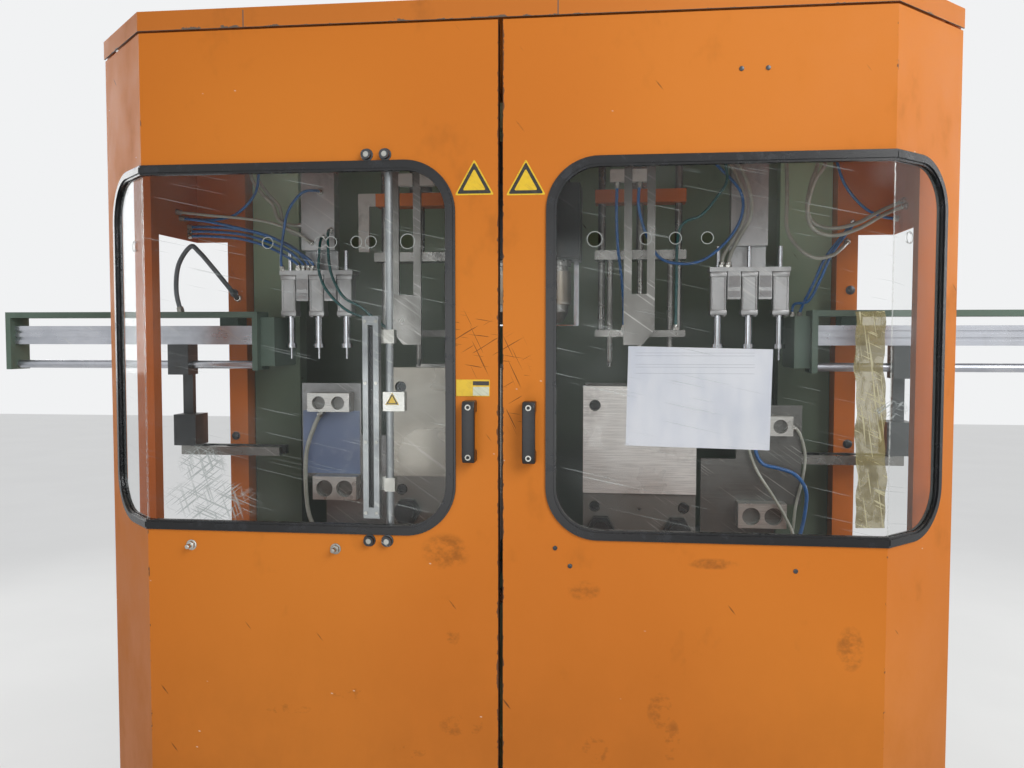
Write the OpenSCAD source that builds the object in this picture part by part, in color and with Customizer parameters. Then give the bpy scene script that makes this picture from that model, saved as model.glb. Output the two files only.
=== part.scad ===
// Twin-station extrusion blow moulding machine with three cavities a side.
// Millimetres, +Z up. The doors face -Y, and the origin is on the floor at the centre of the outline.
// "Depth" is measured backwards from the flat front of the doors. A station's pieces are drawn on the
// +X side and mirrored for the left.

/* [Doors and cabinet] */
// Half the width of the flat front, from the centre line to the fold
front_half_w = 802; // [760:1:900]
// How far the angled outer side of each door runs out, and back
chamfer = 187; // [150:1:230]
// Height of the doors' lower edge above the floor
door_bottom_z = 150; // [140:1:220]
// Height of the doors' upper edge above the floor
door_top_z = 2216; // [2190:1:2300]
// Thickness of the door and panel sheet
sheet_t = 3; // [2:0.5:4]
// Gap between the two doors
door_gap = 10; // [6:1:16]
// Depth of the doors' folded edges
door_flange = 32; // [28:1:40]
// Height of the header strip above the doors
header_h = 42; // [36:1:60]
// Gap between a door and the header above it
header_gap = 4; // [3:0.5:8]
// How far the header stands proud of the doors
header_proud = 3; // [2:0.5:6]
// Depth of the front posts' front face
front_post_depth = 300; // [290:1:320]
// Width and depth of a front post
front_post_w = 45; // [40:1:50]
// Depth of the rear posts' front face
rear_post_depth = 650; // [640:1:680]
// Width and depth of a rear post
rear_post_w = 55; // [45:1:60]
// Distance from the centre line to the outer face of the main body
body_half_w = 890; // [880:1:910]
// Depth of the working space, to the rear wall
rear_wall_depth = 1150; // [1140:1:1200]
// Lower edge of the side openings above the floor
side_opening_z0 = 950; // [900:1:980]
// Upper edge of the side openings above the floor
side_opening_z1 = 1827; // [1780:1:1900]

/* [Windows] */
// Distance from the centre line to a window rubber
window_side = 97; // [90:1:110]
// Lower edge of the window rubber above the floor
window_z = 1119; // [1100:1:1140]
// Height of the window over its rubber
window_h = 810; // [780:1:820]
// Width of the window on the angled side, along the sheet
window_wrap = 209; // [170:1:215]
// Corner radius of the window rubber
window_r = 112; // [90:1:130]
// Width of the window rubber
rubber_w = 22; // [20:1:26]
// How far the rubber stands in front of the sheet
rubber_front = 7; // [5:0.5:10]
// Thickness of the clear pane
pane_t = 4; // [3.5:0.5:6]
// Height of the row of holes through the panes
pane_hole_z = 1756; // [1740:1:1780]
// Diameter of the smaller pane holes
pane_hole_d = 23; // [16:1:26]
// Diameter of the larger pane holes
pane_hole_big_d = 30; // [26:1:34]

/* [Door fittings] */
// Distance from the centre line to a handle's middle
handle_x = 64; // [55:1:72]
// Height of the handles' middle above the floor
handle_z = 1350; // [1200:1:1400]
// Length of a handle
handle_len = 131; // [120:1:150]
// Width of a handle
handle_w = 27; // [22:1:30]
// How far a handle stands out of the door
handle_out = 42; // [38:1:50]
// Diameter of the hinge pins
hinge_pin_d = 16; // [14:1:20]
// Diameter of the upright tube behind the left pane
tube_d = 17; // [14:0.5:20]
// Distance of the tube from the centre line
tube_x = 249; // [244:1:254]
// Width of the slotted profile beside the tube
profile_w = 36; // [30:1:40]

/* [Mould stations] */
// Distance from the centre line to a blow station
station_x = 305; // [304:1:310]
// Slope of the shuttle rails in degrees
incline = 25; // [22:0.5:27]
// How far in the left carriage stands at rest, measured level
left_in = 107; // [60:1:120]
// How far the left mould stands open at rest, each half
left_open = 90; // [60:1:95]
// Depth of the parting plane of the moulds
parting_depth = 580; // [575:1:590]
// Width of a platen
platen_w = 296; // [280:1:298]
// Thickness of a platen
platen_t = 35; // [30:1:40]
// Lower edge of the platens above the floor
platen_z0 = 975; // [960:1:990]
// Upper edge of the platens above the floor
platen_z1 = 1422; // [1400:1:1430]
// Lower edge of the bright pad on the front platen
pad_z = 1138; // [1120:1:1160]
// Thickness of that pad
pad_t = 8; // [5:1:10]
// Width of a mould
mould_w = 270; // [260:1:280]
// Thickness of a mould half
mould_t = 55; // [45:1:60]
// Lower face of the moulds above the floor
mould_z0 = 1095; // [1090:1:1100]
// Upper face of the moulds above the floor
mould_z1 = 1345; // [1340:1:1350]
// Distance between neighbouring cavities
cavity_pitch = 81; // [75:1:84]
// Diameter of the bottles
bottle_d = 54; // [48:1:58]
// Height of the bottles over their necks
bottle_h = 171; // [160:1:180]
// Diameter of the bottles' necks
neck_d = 24; // [20:1:28]
// Diameter of the tie bars
tie_d = 45; // [35:1:50]
// Height of the tie bars above the floor
tie_z = 1045; // [1040:1:1050]
// Distance between the two tie bars
tie_pitch = 200; // [180:1:210]
// Travel of each mould half
clamp_travel = 90; // [80:1:95]
// Diameter of the clamp cylinder's rod
rod_d = 60; // [40:1:70]

/* [Blow pins and spindles] */
// Distance from the centre line to the pair of yoke bars
yoke_x = 300; // [296:1:304]
// Distance between the yoke bars' middles
yoke_pitch = 58; // [54:1:66]
// Upper edge of the plate that joins the yoke bars
yoke_plate_z = 1660; // [1640:1:1680]
// Width of a yoke bar
yoke_bar_w = 20; // [16:1:24]
// Depth of the yoke bars' front face
yoke_depth = 405; // [400:1:415]
// Diameter of the guide columns
column_d = 20; // [16:1:24]
// Distance between the guide columns
column_pitch = 208; // [200:1:216]
// Underside of the lower guide plate above the floor
guide_plate_z = 1552; // [1550:1:1570]
// Travel of the blow pins
blow_travel = 155; // [120:1:160]
// Diameter of the lift rod above the crosshead
lift_rod_d = 20; // [16:1:26]
// Diameter of the blow pins
pin_d = 16; // [12:1:18]
// Distance from the centre line to a spindle unit
spindle_x = 593; // [585:1:600]
// Travel of the spindles
spindle_travel = 60; // [40:1:70]
// Diameter of the spindle sleeves
spindle_d = 22; // [18:1:26]

/* [Take-out units] */
// Inner end of the take-out beams, from the centre line
takeout_in = 745; // [740:1:760]
// Outer end of the take-out beams, from the centre line
takeout_out = 1494; // [1450:1:1550]
// Upper face of the take-out beams above the floor
takeout_z1 = 1621; // [1600:1:1640]
// Height of a take-out beam
takeout_h = 163; // [155:1:170]
// Place of the take-out arm, from the centre line
arm_x = 981; // [970:1:990]
// Diameter of the take-out guide rod
guide_d = 23; // [18:1:26]
// Middle of the height at which the jaws grip
grip_z = 1228; // [1215:1:1240]

/* [Extruder] */
// Height of the extruder's axis above the floor
extruder_z = 1885; // [1870:1:1900]
// Diameter of the screw
screw_d = 60; // [50:1:70]
// Outer diameter of the barrel
barrel_d = 130; // [115:1:150]
// Depth at which the barrel ends in the gearbox
gearbox_depth = 2000; // [1960:1:2050]
// Width of the rear cabinet
cabinet_w = 800; // [700:1:900]
// Height of the rear cabinet's top above the floor
cabinet_top = 1640; // [1600:1:1650]
// Length of the drive motor
motor_len = 480; // [400:1:560]
// Diameter of the drive motor
motor_d = 320; // [260:1:360]
// Diameter of the hopper's cylinder
hopper_d = 520; // [440:1:600]
// Height of the hopper's cylinder
hopper_h = 300; // [240:1:360]

/* [Hidden] */
$fn = 48;

c45 = sqrt(0.5);
tan22 = tan(22.5);
flat = 0.1;          // clearance between flat faces that slide
run = 0.05;          // radial clearance of a running fit
clear = 0.3;         // clearance between pieces that only stand close
orange = "#DC852D";
green = "#6E8F70";
steel = "#9A9C9E";
dark = "#3A3D40";
chrome = "#C9CCD0";
black = "#1E2024";
alu = "#C4C6C8";

// Depths and heights that several pieces share
foot_h = 60;
sill_top = door_bottom_z - 20;
header_z = door_top_z + header_gap;
roof_z = header_z + header_h;
fold_len = chamfer * sqrt(2);
window_cut = 9;
pane_cut = 13;
developed_w = front_half_w + fold_len;
post_x1 = front_half_w + chamfer - 4;
panel_x = post_x1 - sheet_t;
motor_depth = gearbox_depth + 330;
rear_depth = motor_depth + motor_len;
door_y = (handle_out - rear_depth) / 2;
bed_top = 520;
bed_depth = rear_post_depth - 290;
upright_out = body_half_w - 58;
upright_in = upright_out - 140;
upright_depth = 700;
beam_z0 = roof_z - 112;
beam_z1 = roof_z - 42;
beam_depth = 600;
beam_t = 60;
rail_peak = 880;
rail_w = 35;
rail_h = 30;
shoe_h = 48;
shoe_in = 60;
shoe_out = 360;
deck_out = 380;
deck_t = 30;
deck_z1 = platen_z0 - flat;
deck_z0 = deck_z1 - deck_t;
front_face_depth = parting_depth - mould_t - platen_t;
rear_face_depth = parting_depth + mould_t + platen_t;
deck_d0 = front_face_depth - clamp_travel - 15;
yoke_plate_t = 35;
yoke_plate_depth = rear_face_depth + 2 * clamp_travel + 10;
cylinder_len = 2 * clamp_travel + 40;
deck_d1 = yoke_plate_depth + yoke_plate_t + 5;
rail_front_depth = deck_d0 + 45;
rail_rear_depth = deck_d1 - 60;
nut_af = 62;
nut_t = 30;
neck_z = mould_z1 - 17;
pin_tip_z = 1470;
crosshead_z = 1760;
crosshead_t = 25;
bridge_z = 1915;
bridge_t = 35;
column_depth = parting_depth + 35;
cyl_sq = 40;
cyl_z0 = 1612;
cyl_z1 = 1725;
rod_z = takeout_z1 - 148;
rod_depth = parting_depth - 35;
beam_front = parting_depth - 75;
beam_back = parting_depth + 10;
head_z0 = extruder_z - 125;
head_z1 = extruder_z + 75;
die_z = platen_z1 + station_x * tan(incline) + 26;
barrel_start = parting_depth + 120;

function yd(d) = door_y + d;
function slope_z(x, n) = rail_peak - x * tan(incline) + n / cos(incline);

// A box between two places across, two depths and two heights
module box(x, d, z) {
    translate([x[0], yd(d[0]), z[0]])
        cube([x[1] - x[0], d[1] - d[0], z[1] - z[0]]);
}

// Round bars along each axis, each between two places
module bar_z(x, d, z, r) {
    translate([x, yd(d), z[0]]) cylinder(h = z[1] - z[0], r = r);
}
module bar_y(x, d, z, r) {
    translate([x, yd(d[0]), z]) rotate([-90, 0, 0]) cylinder(h = d[1] - d[0], r = r);
}
module bar_x(x, d, z, r) {
    translate([x[0], yd(d), z]) rotate([0, 90, 0]) cylinder(h = x[1] - x[0], r = r);
}

// The right side as drawn, or mirrored to the left
module on_side(left) {
    if (left) mirror([1, 0, 0]) children();
    else children();
}

// A plan strip behind the doors' outline, from offset a to offset b. It starts at "cut" from the centre
// line, and ends "short" of the angled side's outer edge
function strip(a, b, cut, short = 0) = [
    [cut, a], [front_half_w - a * tan22, a],
    [front_half_w + (fold_len - short - a) * c45, (fold_len - short + a) * c45],
    [front_half_w + (fold_len - short - b) * c45, (fold_len - short + b) * c45],
    [front_half_w - b * tan22, b], [cut, b]
];

// A developed outline as a cutter that follows both sides of the fold
module wrapped() {
    lap = 2;
    half_t = 30;
    translate([0, yd(0), 0]) {
        intersection() {
            translate([0, half_t, 0]) rotate([90, 0, 0]) linear_extrude(2 * half_t) children();
            translate([0, -2 * half_t, 0]) cube([front_half_w + lap, 4 * half_t, roof_z]);
        }
        translate([front_half_w, 0, 0]) rotate([0, 0, 45]) intersection() {
            translate([-front_half_w, half_t, 0]) rotate([90, 0, 0]) linear_extrude(2 * half_t) children();
            translate([-lap, -2 * half_t, 0]) cube([2 * fold_len, 4 * half_t, roof_z]);
        }
    }
}

// A folded layer with a developed outline, from "front" before the doors' face to "back" behind it
module folded(front, back) intersection() {
    translate([0, yd(0), 0]) linear_extrude(roof_z) polygon(strip(-front, back, 0));
    wrapped() children();
}

// The window's developed outline, inset all round
module window(inset) {
    w = front_half_w + window_wrap - window_side - 2 * inset;
    h = window_h - 2 * inset;
    r = window_r - inset;
    translate([window_side + inset, window_z + inset]) {
        translate([r, 0]) square([w - 2 * r, h]);
        translate([0, r]) square([w, h - 2 * r]);
        for (x = [r, w - r], z = [r, h - r]) translate([x, z]) circle(r = r);
    }
}

/* Cabinet */

module door(left) color(orange) on_side(left) {
    w0 = door_gap / 2;
    h = door_top_z - door_bottom_z;
    difference() {
        union() {
            difference() {
                translate([0, yd(0), door_bottom_z]) linear_extrude(h) polygon(strip(0, door_flange, w0));
                translate([0, yd(0), door_bottom_z + sheet_t]) linear_extrude(h - 2 * sheet_t)
                    polygon(strip(sheet_t, door_flange + 1, w0 + sheet_t, sheet_t));
            }
            for (z = [door_bottom_z, door_top_z - hinge_boss_h]) at_hinge(z)
                cylinder(h = hinge_boss_h, r = hinge_pin_d / 2 + 6);
        }
        wrapped() window(window_cut);
        at_hinge(door_bottom_z - 1) cylinder(h = door_top_z, r = hinge_pin_d / 2 + run);
    }
}

// Where the hinge pins stand, inside each door's outer edge
hinge_in = 25;
hinge_back = 18;
hinge_boss_h = 22;
hinge_px = front_half_w + (fold_len - hinge_in - hinge_back) * c45;
hinge_pd = (fold_len - hinge_in + hinge_back) * c45;
module at_hinge(z) {
    translate([hinge_px, yd(hinge_pd), z]) children();
}

module hinge_bracket() {
    t = 10;
    in = 60;
    back = 2;
    for (z = [door_bottom_z - header_gap - t, door_top_z + header_gap])
        translate([0, yd(0), z]) linear_extrude(t) polygon([
            [front_half_w + (fold_len - in - back) * c45, (fold_len - in + back) * c45],
            [post_x1, (fold_len - 2 * back) * c45 + 2 * back], [post_x1, front_post_depth - flat],
            [post_x1 - front_post_w, front_post_depth - flat]]);
    at_hinge(door_bottom_z - header_gap - 1) cylinder(h = hinge_boss_h + header_gap, r = hinge_pin_d / 2);
    at_hinge(door_top_z - hinge_boss_h) cylinder(h = hinge_boss_h + header_gap + 1, r = hinge_pin_d / 2);
}

module rubber(left) color(black) on_side(left) {
    lip = rubber_front - 3;
    back = 10;
    ridge = 5;
    folded(lip, 0) difference() {
        window(0);
        window(rubber_w);
    }
    folded(rubber_front, -1) difference() {
        window(ridge);
        window(rubber_w - ridge);
    }
    // Web between the sheet's edge and the pane's edge, and the lips behind them
    folded(1, back - 1) difference() {
        window(window_cut);
        window(pane_cut);
    }
    folded(-sheet_t, back) difference() {
        window(0);
        window(window_cut + 2);
    }
    folded(-pane_t, back) difference() {
        window(pane_cut - 2);
        window(rubber_w);
    }
}

module pane(left) color([0.85, 0.9, 0.9, 0.3]) on_side(left) {
    small = left ? [282, 314, 370, 394, 513] : [305, 366, 431];
    big = left ? [201] : [199];
    wrap_hole = front_half_w + 60;
    folded(0, pane_t) difference() {
        window(pane_cut);
        for (x = small) translate([x, pane_hole_z]) circle(d = pane_hole_d);
        for (x = big) translate([x, pane_hole_z]) circle(d = pane_hole_big_d);
        translate([wrap_hole, pane_hole_z]) circle(d = pane_hole_d);
    }
}

module handle(left) color(black) on_side(left) {
    grip = 14;
    foot = 25;
    r = 12;
    translate([handle_x - handle_w / 2, yd(0), handle_z - handle_len / 2]) rotate([0, 90, 0])
        rotate([0, 0, 90]) linear_extrude(handle_w) difference() {
            union() {
                translate([-handle_out + r, 0]) square([handle_out - r, handle_len]);
                translate([-handle_out, r]) square([handle_out, handle_len - 2 * r]);
                for (z = [r, handle_len - r]) translate([-handle_out + r, z]) circle(r = r);
            }
            translate([-handle_out + grip, foot]) square([handle_out - grip + 1, handle_len - 2 * foot]);
        }
}

module roof_canopy() color(orange) for (left = [false, true]) on_side(left) {
    translate([0, yd(0), header_z]) linear_extrude(header_h)
        polygon(strip(-header_proud, -header_proud + sheet_t, -1));
    translate([0, yd(0), roof_z - sheet_t]) linear_extrude(sheet_t) polygon([
        [-1, -header_proud], [front_half_w + header_proud * tan22, -header_proud],
        [front_half_w + (fold_len + header_proud) * c45, (fold_len - header_proud) * c45],
        [post_x1, chamfer], [post_x1, rear_post_depth], [body_half_w, rear_post_depth],
        [body_half_w, rear_wall_depth + 6], [-1, rear_wall_depth + 6]]);
}

module side_walls() color(orange) for (left = [false, true]) on_side(left) {
    top = roof_z - sheet_t;
    rear_x = body_half_w - rear_post_w;
    front_back = front_post_depth + 40;
    box([post_x1 - front_post_w, post_x1], [front_post_depth, front_back], [sill_top, top]);
    for (z = [[sill_top, side_opening_z0], [side_opening_z1, top]]) {
        box([panel_x, post_x1], [front_back + flat, rear_post_depth - flat], z);
        box([body_half_w + flat, post_x1], [rear_post_depth, rear_post_depth + sheet_t], z);
    }
    box([rear_x, body_half_w], [rear_post_depth, rear_post_depth + 50], [bed_top, top]);
    box([body_half_w - 8, body_half_w], [rear_post_depth + 50 + flat, rear_wall_depth], [bed_top, top]);
    hinge_bracket();
}

module rear_wall() color(green) difference() {
    box([-body_half_w, body_half_w], [rear_wall_depth, rear_wall_depth + 6], [bed_top, roof_z - sheet_t]);
    bar_y(0, [rear_wall_depth - 5, rear_wall_depth + 15], extruder_z, barrel_d / 2 + 25);
}

module crossbeam() color(green) {
    box([-body_half_w + 8, body_half_w - 8], [rear_post_depth + 50 + clear, rear_post_depth + 110],
        [beam_z0, beam_z1]);
    for (x = [-spindle_x, spindle_x]) {
        box([x - 48, x + 48], [beam_depth + beam_t - 48, rear_post_depth + 51], [beam_z0, beam_z0 + 30]);
    }
    for (x = [-station_x, station_x]) {
        box([x - 130, x + 130], [column_depth - 75, rear_post_depth + 51], [beam_z0, beam_z0 + 30]);
        box([x - yoke_pitch, x + yoke_pitch], [yoke_depth + 12, column_depth - 74], [beam_z0, beam_z0 + 20]);
    }
}

// Sill before the bed, and along its sides under the side panels
module bed_sill() {
    back = 45;
    for (left = [false, true]) on_side(left) translate([0, yd(0), foot_h])
        linear_extrude(sill_top - foot_h) polygon([[-1, back], [front_half_w - back * tan22, back],
            [front_half_w + (fold_len - back) * c45, (fold_len + back) * c45],
            [post_x1, chamfer + back], [post_x1, rear_post_depth],
            [body_half_w + flat, rear_post_depth], [body_half_w + flat, bed_depth - flat],
            [-1, bed_depth - flat]]);
}

module machine_bed() color(green) {
    wall = 10;
    bed_sill();
    difference() {
        box([-body_half_w, body_half_w], [bed_depth, rear_wall_depth + 6], [foot_h, bed_top]);
        box([-body_half_w + wall, body_half_w - wall],
            [bed_depth + wall, rear_wall_depth + 6 - wall], [foot_h + wall, bed_top - wall]);
    }
    // Uprights beside the rear posts, up to the crossbeam
    for (s = [-1, 1])
        box([s > 0 ? upright_in : -upright_out, s > 0 ? upright_out : -upright_in],
            [upright_depth, upright_depth + 60], [bed_top + flat, beam_z0]);
    // Gables that carry the two pairs of inclined rails
    for (d = [rail_front_depth, rail_rear_depth])
        translate([0, yd(d) + 15, 0]) rotate([90, 0, 0]) linear_extrude(30) {
            out = station_x + deck_out + 5;
            polygon([[-out, bed_top + flat], [-out, slope_z(out, 0)], [0, slope_z(0, 0)],
                [out, slope_z(out, 0)], [out, bed_top + flat]]);
        }
}

foot_x = 760;
module levelling_feet() color(dark) {
    pad_r = 50;
    cab_x = cabinet_w / 2 - 70;
    for (p = [[foot_x, 110], [foot_x, 600], [foot_x, rear_wall_depth - 70],
              [cab_x, rear_wall_depth + 420], [cab_x, gearbox_depth + 380]])
        for (s = [-1, 1]) {
            bar_z(s * p[0], p[1], [0, 18], pad_r);
            bar_z(s * p[0], p[1], [17, foot_h], 15);
        }
}

module rear_cabinet() color(green) {
    wall = 5;
    d0 = rear_wall_depth + 6;
    d1 = rear_depth - 60;
    half = cabinet_w / 2;
    difference() {
        box([-half, half], [d0, d1], [foot_h, cabinet_top]);
        box([-half + wall, half - wall], [d0 + wall, d1 - wall], [foot_h + wall, cabinet_top - wall]);
        // Rows of air slots low down on both sides
        for (s = [-1, 1], k = [0:7])
            translate([s * half, yd(d0 + 260), foot_h + 160 + 26 * k]) cube([4 * wall, 360, 9], center = true);
    }
    // Bolted service panels stand 3 mm proud of the sides and the back
    for (s = [-1, 1], k = [0:2]) {
        pitch = (d1 - d0) / 3;
        x = s > 0 ? [half, half + sheet_t] : [-half - sheet_t, -half];
        box(x, [d0 + pitch * k + 25, d0 + pitch * (k + 1) - 25], [foot_h + 420, cabinet_top - 60]);
    }
    // Saddle under the front of the barrel
    difference() {
        box([-90, 90], [rear_wall_depth + 90, rear_wall_depth + 130], [cabinet_top + flat, extruder_z]);
        bar_y(0, [rear_wall_depth + 80, rear_wall_depth + 140], extruder_z, barrel_d / 2 + run);
    }
}

/* Left door fittings */

tube_depth = 27;
profile_x = tube_x + 40;
profile_z = [1151, 1597];
tube_z = [window_z - 26, window_z + window_h + 25];
module sensor_rail() color(alu) on_side(true) {
    difference() {
        bar_z(tube_x, tube_depth, tube_z, tube_d / 2);
        bar_z(tube_x, tube_depth, [tube_z[0] - 1, tube_z[1] + 1], tube_d / 2 - 2);
    }
    difference() {
        box([profile_x - profile_w / 2, profile_x + profile_w / 2], [16, 38], profile_z);
        box([profile_x - 6, profile_x + 6], [15, 34], [profile_z[0] + 24, profile_z[1] - 20]);
    }
}

module door_fittings() color(dark) on_side(true) {
    w = 11;
    for (z = [tube_z[0] + 4, tube_z[1] - 22]) difference() {
        box([tube_x - w - 4, profile_x + w], [sheet_t, tube_depth + tube_d / 2 + 6], [z, z + 18]);
        bar_z(tube_x, tube_depth, [z - 1, z + 19], tube_d / 2 + run);
    }
    // Cap screws through the door sheet
    for (x = [tube_x, profile_x], z = [tube_z[0] + 13, tube_z[1] - 13])
        bar_y(x, [-12, 0], z, 10);
    // Two zinc-plated studs with nuts below the window
    for (x = [366, 699]) {
        bar_y(x, [-9, 0], window_z - 34, 8);
        bar_y(x, [-20, -8], window_z - 34, 4);
    }
    // Clips that hold the profile on the tube
    for (z = [profile_z[0] + 60, profile_z[1] - 60]) difference() {
        box([tube_x - 12, profile_x + profile_w / 2], [38, 44], [z, z + 30]);
        bar_z(tube_x, tube_depth, [z - 1, z + 31], tube_d / 2 + run);
    }
    for (z = [profile_z[0] + 60, profile_z[1] - 60]) difference() {
        box([tube_x - tube_d / 2 - 4, tube_x + tube_d / 2 + 2], [tube_depth - 9, 39], [z, z + 30]);
        bar_z(tube_x, tube_depth, [z - 1, z + 31], tube_d / 2 + run);
    }
    // Sensor bracket on the tube
    difference() {
        box([tube_x - 36, tube_x + 12], [tube_depth - 14, tube_depth + 12], [1389, 1431]);
        bar_z(tube_x, tube_depth, [1388, 1432], tube_d / 2 + run);
    }
}

/* Mould stations */

// A carriage's pieces are drawn at the blow station and moved up the slope where they stand at rest
module station(left) {
    shift = left ? left_in : 0;
    on_side(left) translate([-shift, 0, shift * tan(incline)]) translate([station_x, 0, 0]) children();
}
// The clamp's front and rear bodies, moved apart where the mould stands open at rest
module clamp_front(left) {
    translate([0, left ? -left_open : 0, 0]) children();
}
module clamp_rear(left) {
    translate([0, left ? left_open : 0, 0]) children();
}
// Along the slope: x runs down and outwards, z is square to it
module on_slope() {
    translate([0, 0, rail_peak]) rotate([0, incline, 0]) children();
}

module shuttle_rails() color(steel) for (left = [false, true]) on_side(left)
    for (d = [rail_front_depth, rail_rear_depth]) on_slope()
        translate([45, yd(d) - rail_w / 2, 0])
            cube([(station_x + deck_out) / cos(incline) - 45, rail_w, rail_h]);

module carriage(left) color(dark) station(left) {
    x0 = -platen_w / 2;
    box([x0, deck_out], [deck_d0, deck_d1], [deck_z0, deck_z1]);
    for (d = [rail_front_depth, rail_rear_depth]) {
        // Web between the deck and the shoe
        translate([-station_x, yd(d) + 12, 0]) rotate([90, 0, 0]) linear_extrude(24) polygon([
            [station_x + x0, deck_z0 + 1], [station_x + deck_out, deck_z0 + 1],
            [station_x + deck_out, slope_z(station_x + deck_out, shoe_h - 1)],
            [station_x + shoe_in, slope_z(station_x + shoe_in, shoe_h - 1)]]);
        // Shoe round the rail
        translate([-station_x, 0, 0]) on_slope() difference() {
            l0 = (station_x + shoe_in) / cos(incline);
            l1 = (station_x + shoe_out) / cos(incline);
            translate([l0, yd(d) - 38, 8]) cube([l1 - l0, 76, shoe_h - 8]);
            translate([l0 - 1, yd(d) - rail_w / 2 - flat, 7])
                cube([l1 - l0 + 2, rail_w + 2 * flat, rail_h - 7 + flat]);
        }
    }
}

module tie_holes(d) {
    for (s = [-1, 1]) bar_y(s * tie_pitch / 2, d, tie_z, tie_d / 2 + run);
}

module front_platen(left) color(alu) station(left) clamp_front(left) difference() {
    d0 = front_face_depth;
    union() {
        box([-platen_w / 2, platen_w / 2], [d0 + pad_t, d0 + platen_t], [platen_z0, platen_z1]);
        box([-platen_w / 2, platen_w / 2], [d0, d0 + pad_t + 1], [pad_z, platen_z1]);
    }
    tie_holes([d0 - 1, d0 + platen_t + 1]);
    for (s = [-1, 1], z = [platen_z1 - 51, platen_z1 - 321])
        bar_y(s * (platen_w / 2 - 31), [d0 - 1, d0 + 22], z, 15);
    bar_y(0, [d0 - 1, d0 + 20], platen_z0 + 121, 5);
}

module rear_platen(left) color(alu) station(left) clamp_rear(left) {
    d1 = rear_face_depth;
    difference() {
        box([-platen_w / 2, platen_w / 2], [d1 - platen_t, d1], [platen_z0, platen_z1]);
        tie_holes([d1 - platen_t - 1, d1 + 1]);
    }
    rod_end = yoke_plate_depth + yoke_plate_t + 17;
    bar_y(0, [d1 - 1, rod_end], clamp_z, rod_d / 2);
    bar_y(0, [rod_end - 14, rod_end], clamp_z, rod_d / 2 + 20 - run);
}
clamp_z = (mould_z0 + mould_z1) / 2;

module clamp_unit(left) color(dark) station(left) clamp_front(left) {
    d0 = yoke_plate_depth;
    d1 = d0 + yoke_plate_t;
    r = rod_d / 2 + 20;
    nut_d = front_face_depth + pad_t - nut_t;
    difference() {
        union() {
            box([-platen_w / 2 + 8, platen_w / 2 - 8], [d0, d1], [tie_z - 60, clamp_z + 110]);
            bar_y(0, [d1 - 1, d1 + cylinder_len], clamp_z, r + 22);
            bar_y(0, [d1 - 1, d1 + 22], clamp_z, r + 34);
            bar_y(0, [d1 + cylinder_len - 24, d1 + cylinder_len], clamp_z, r + 34);
        }
        bar_y(0, [d0 - 1, d1 + 5], clamp_z, rod_d / 2 + run);
        bar_y(0, [d1, d1 + cylinder_len - 15], clamp_z, r);
    }
    // Tie bars through the platens, with a nut at each end
    for (s = [-1, 1]) {
        bar_y(s * tie_pitch / 2, [nut_d - 14, d1 + nut_t + 10], tie_z, tie_d / 2);
        for (d = [nut_d, d1]) translate([s * tie_pitch / 2, yd(d), tie_z]) rotate([-90, 0, 0])
            cylinder(h = nut_t, d = nut_af / cos(30), $fn = 6);
    }
}

// Half outline of a bottle with its neck, turned about Z for the cavities
function bottle_outline() = let (r = bottle_d / 2, n = neck_d / 2, base = 6, shoulder = 34, neck = 24)
    concat([[0, 0], [r - base, 0], [r, base]], [for (a = [0:15:90])
        [n + (r - n) * cos(a), bottle_h - neck - shoulder + shoulder * sin(a)]],
        [[n, bottle_h + 1], [0, bottle_h + 1]]);
module cavity_block(d0, d1) difference() {
    box([-mould_w / 2, mould_w / 2], [d0, d1], [mould_z0, mould_z1]);
    for (k = [-1:1]) translate([k * cavity_pitch, yd(parting_depth), 0]) {
        translate([0, 0, neck_z - bottle_h]) rotate_extrude() polygon(bottle_outline());
        // Neck bore above the bottle, and the flash chamber below it
        translate([0, 0, neck_z]) cylinder(h = mould_z1 - neck_z + 1, d = neck_d);
        translate([-bottle_d / 2 - 2, -4, mould_z0 - 1]) cube([bottle_d + 4, 8, neck_z - bottle_h - mould_z0 - 5]);
    }
}
guide_x = mould_w / 2 - 13;
module mould_front(left) color(steel) station(left) clamp_front(left) difference() {
    cavity_block(parting_depth - mould_t, parting_depth);
    for (s = [-1, 1], z = [mould_z0 + 18, mould_z1 - 18])
        bar_y(s * guide_x, [parting_depth - 34, parting_depth + 1], z, 8 + run);
}
module mould_rear(left) color(steel) station(left) clamp_rear(left) {
    cavity_block(parting_depth, parting_depth + mould_t);
    for (s = [-1, 1], z = [mould_z0 + 18, mould_z1 - 18])
        bar_y(s * guide_x, [parting_depth - 26, parting_depth + 1], z, 8);
}

manifold_depth = parting_depth - 85;
module port_block(x, z, w, h) difference() {
    box([x, x + w], [manifold_depth - 47, manifold_depth], [z, z + h]);
    for (k = [0.27, 0.73]) bar_y(x + w * k, [manifold_depth - 48, manifold_depth - 30], z + h * 0.48, h * 0.36);
}
module manifold(left) color(alu) station(left) {
    x0 = platen_w / 2 + 12;
    t = 12;
    box([x0, x0 + 140], [manifold_depth, manifold_depth + t], [deck_z1, 1234]);
    box([x0 + 139, x0 + 190], [manifold_depth, manifold_depth + t], [deck_z1, 1340]);
    box([x0 + 90, x0 + 256], [manifold_depth, manifold_depth + 6], [1117, 1375]);
    port_block(x0 + 92, 1062, 121, 63);
    port_block(x0 + 110, 1300, 116, 50);
}

/* Blow pin units and spindle units */

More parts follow.
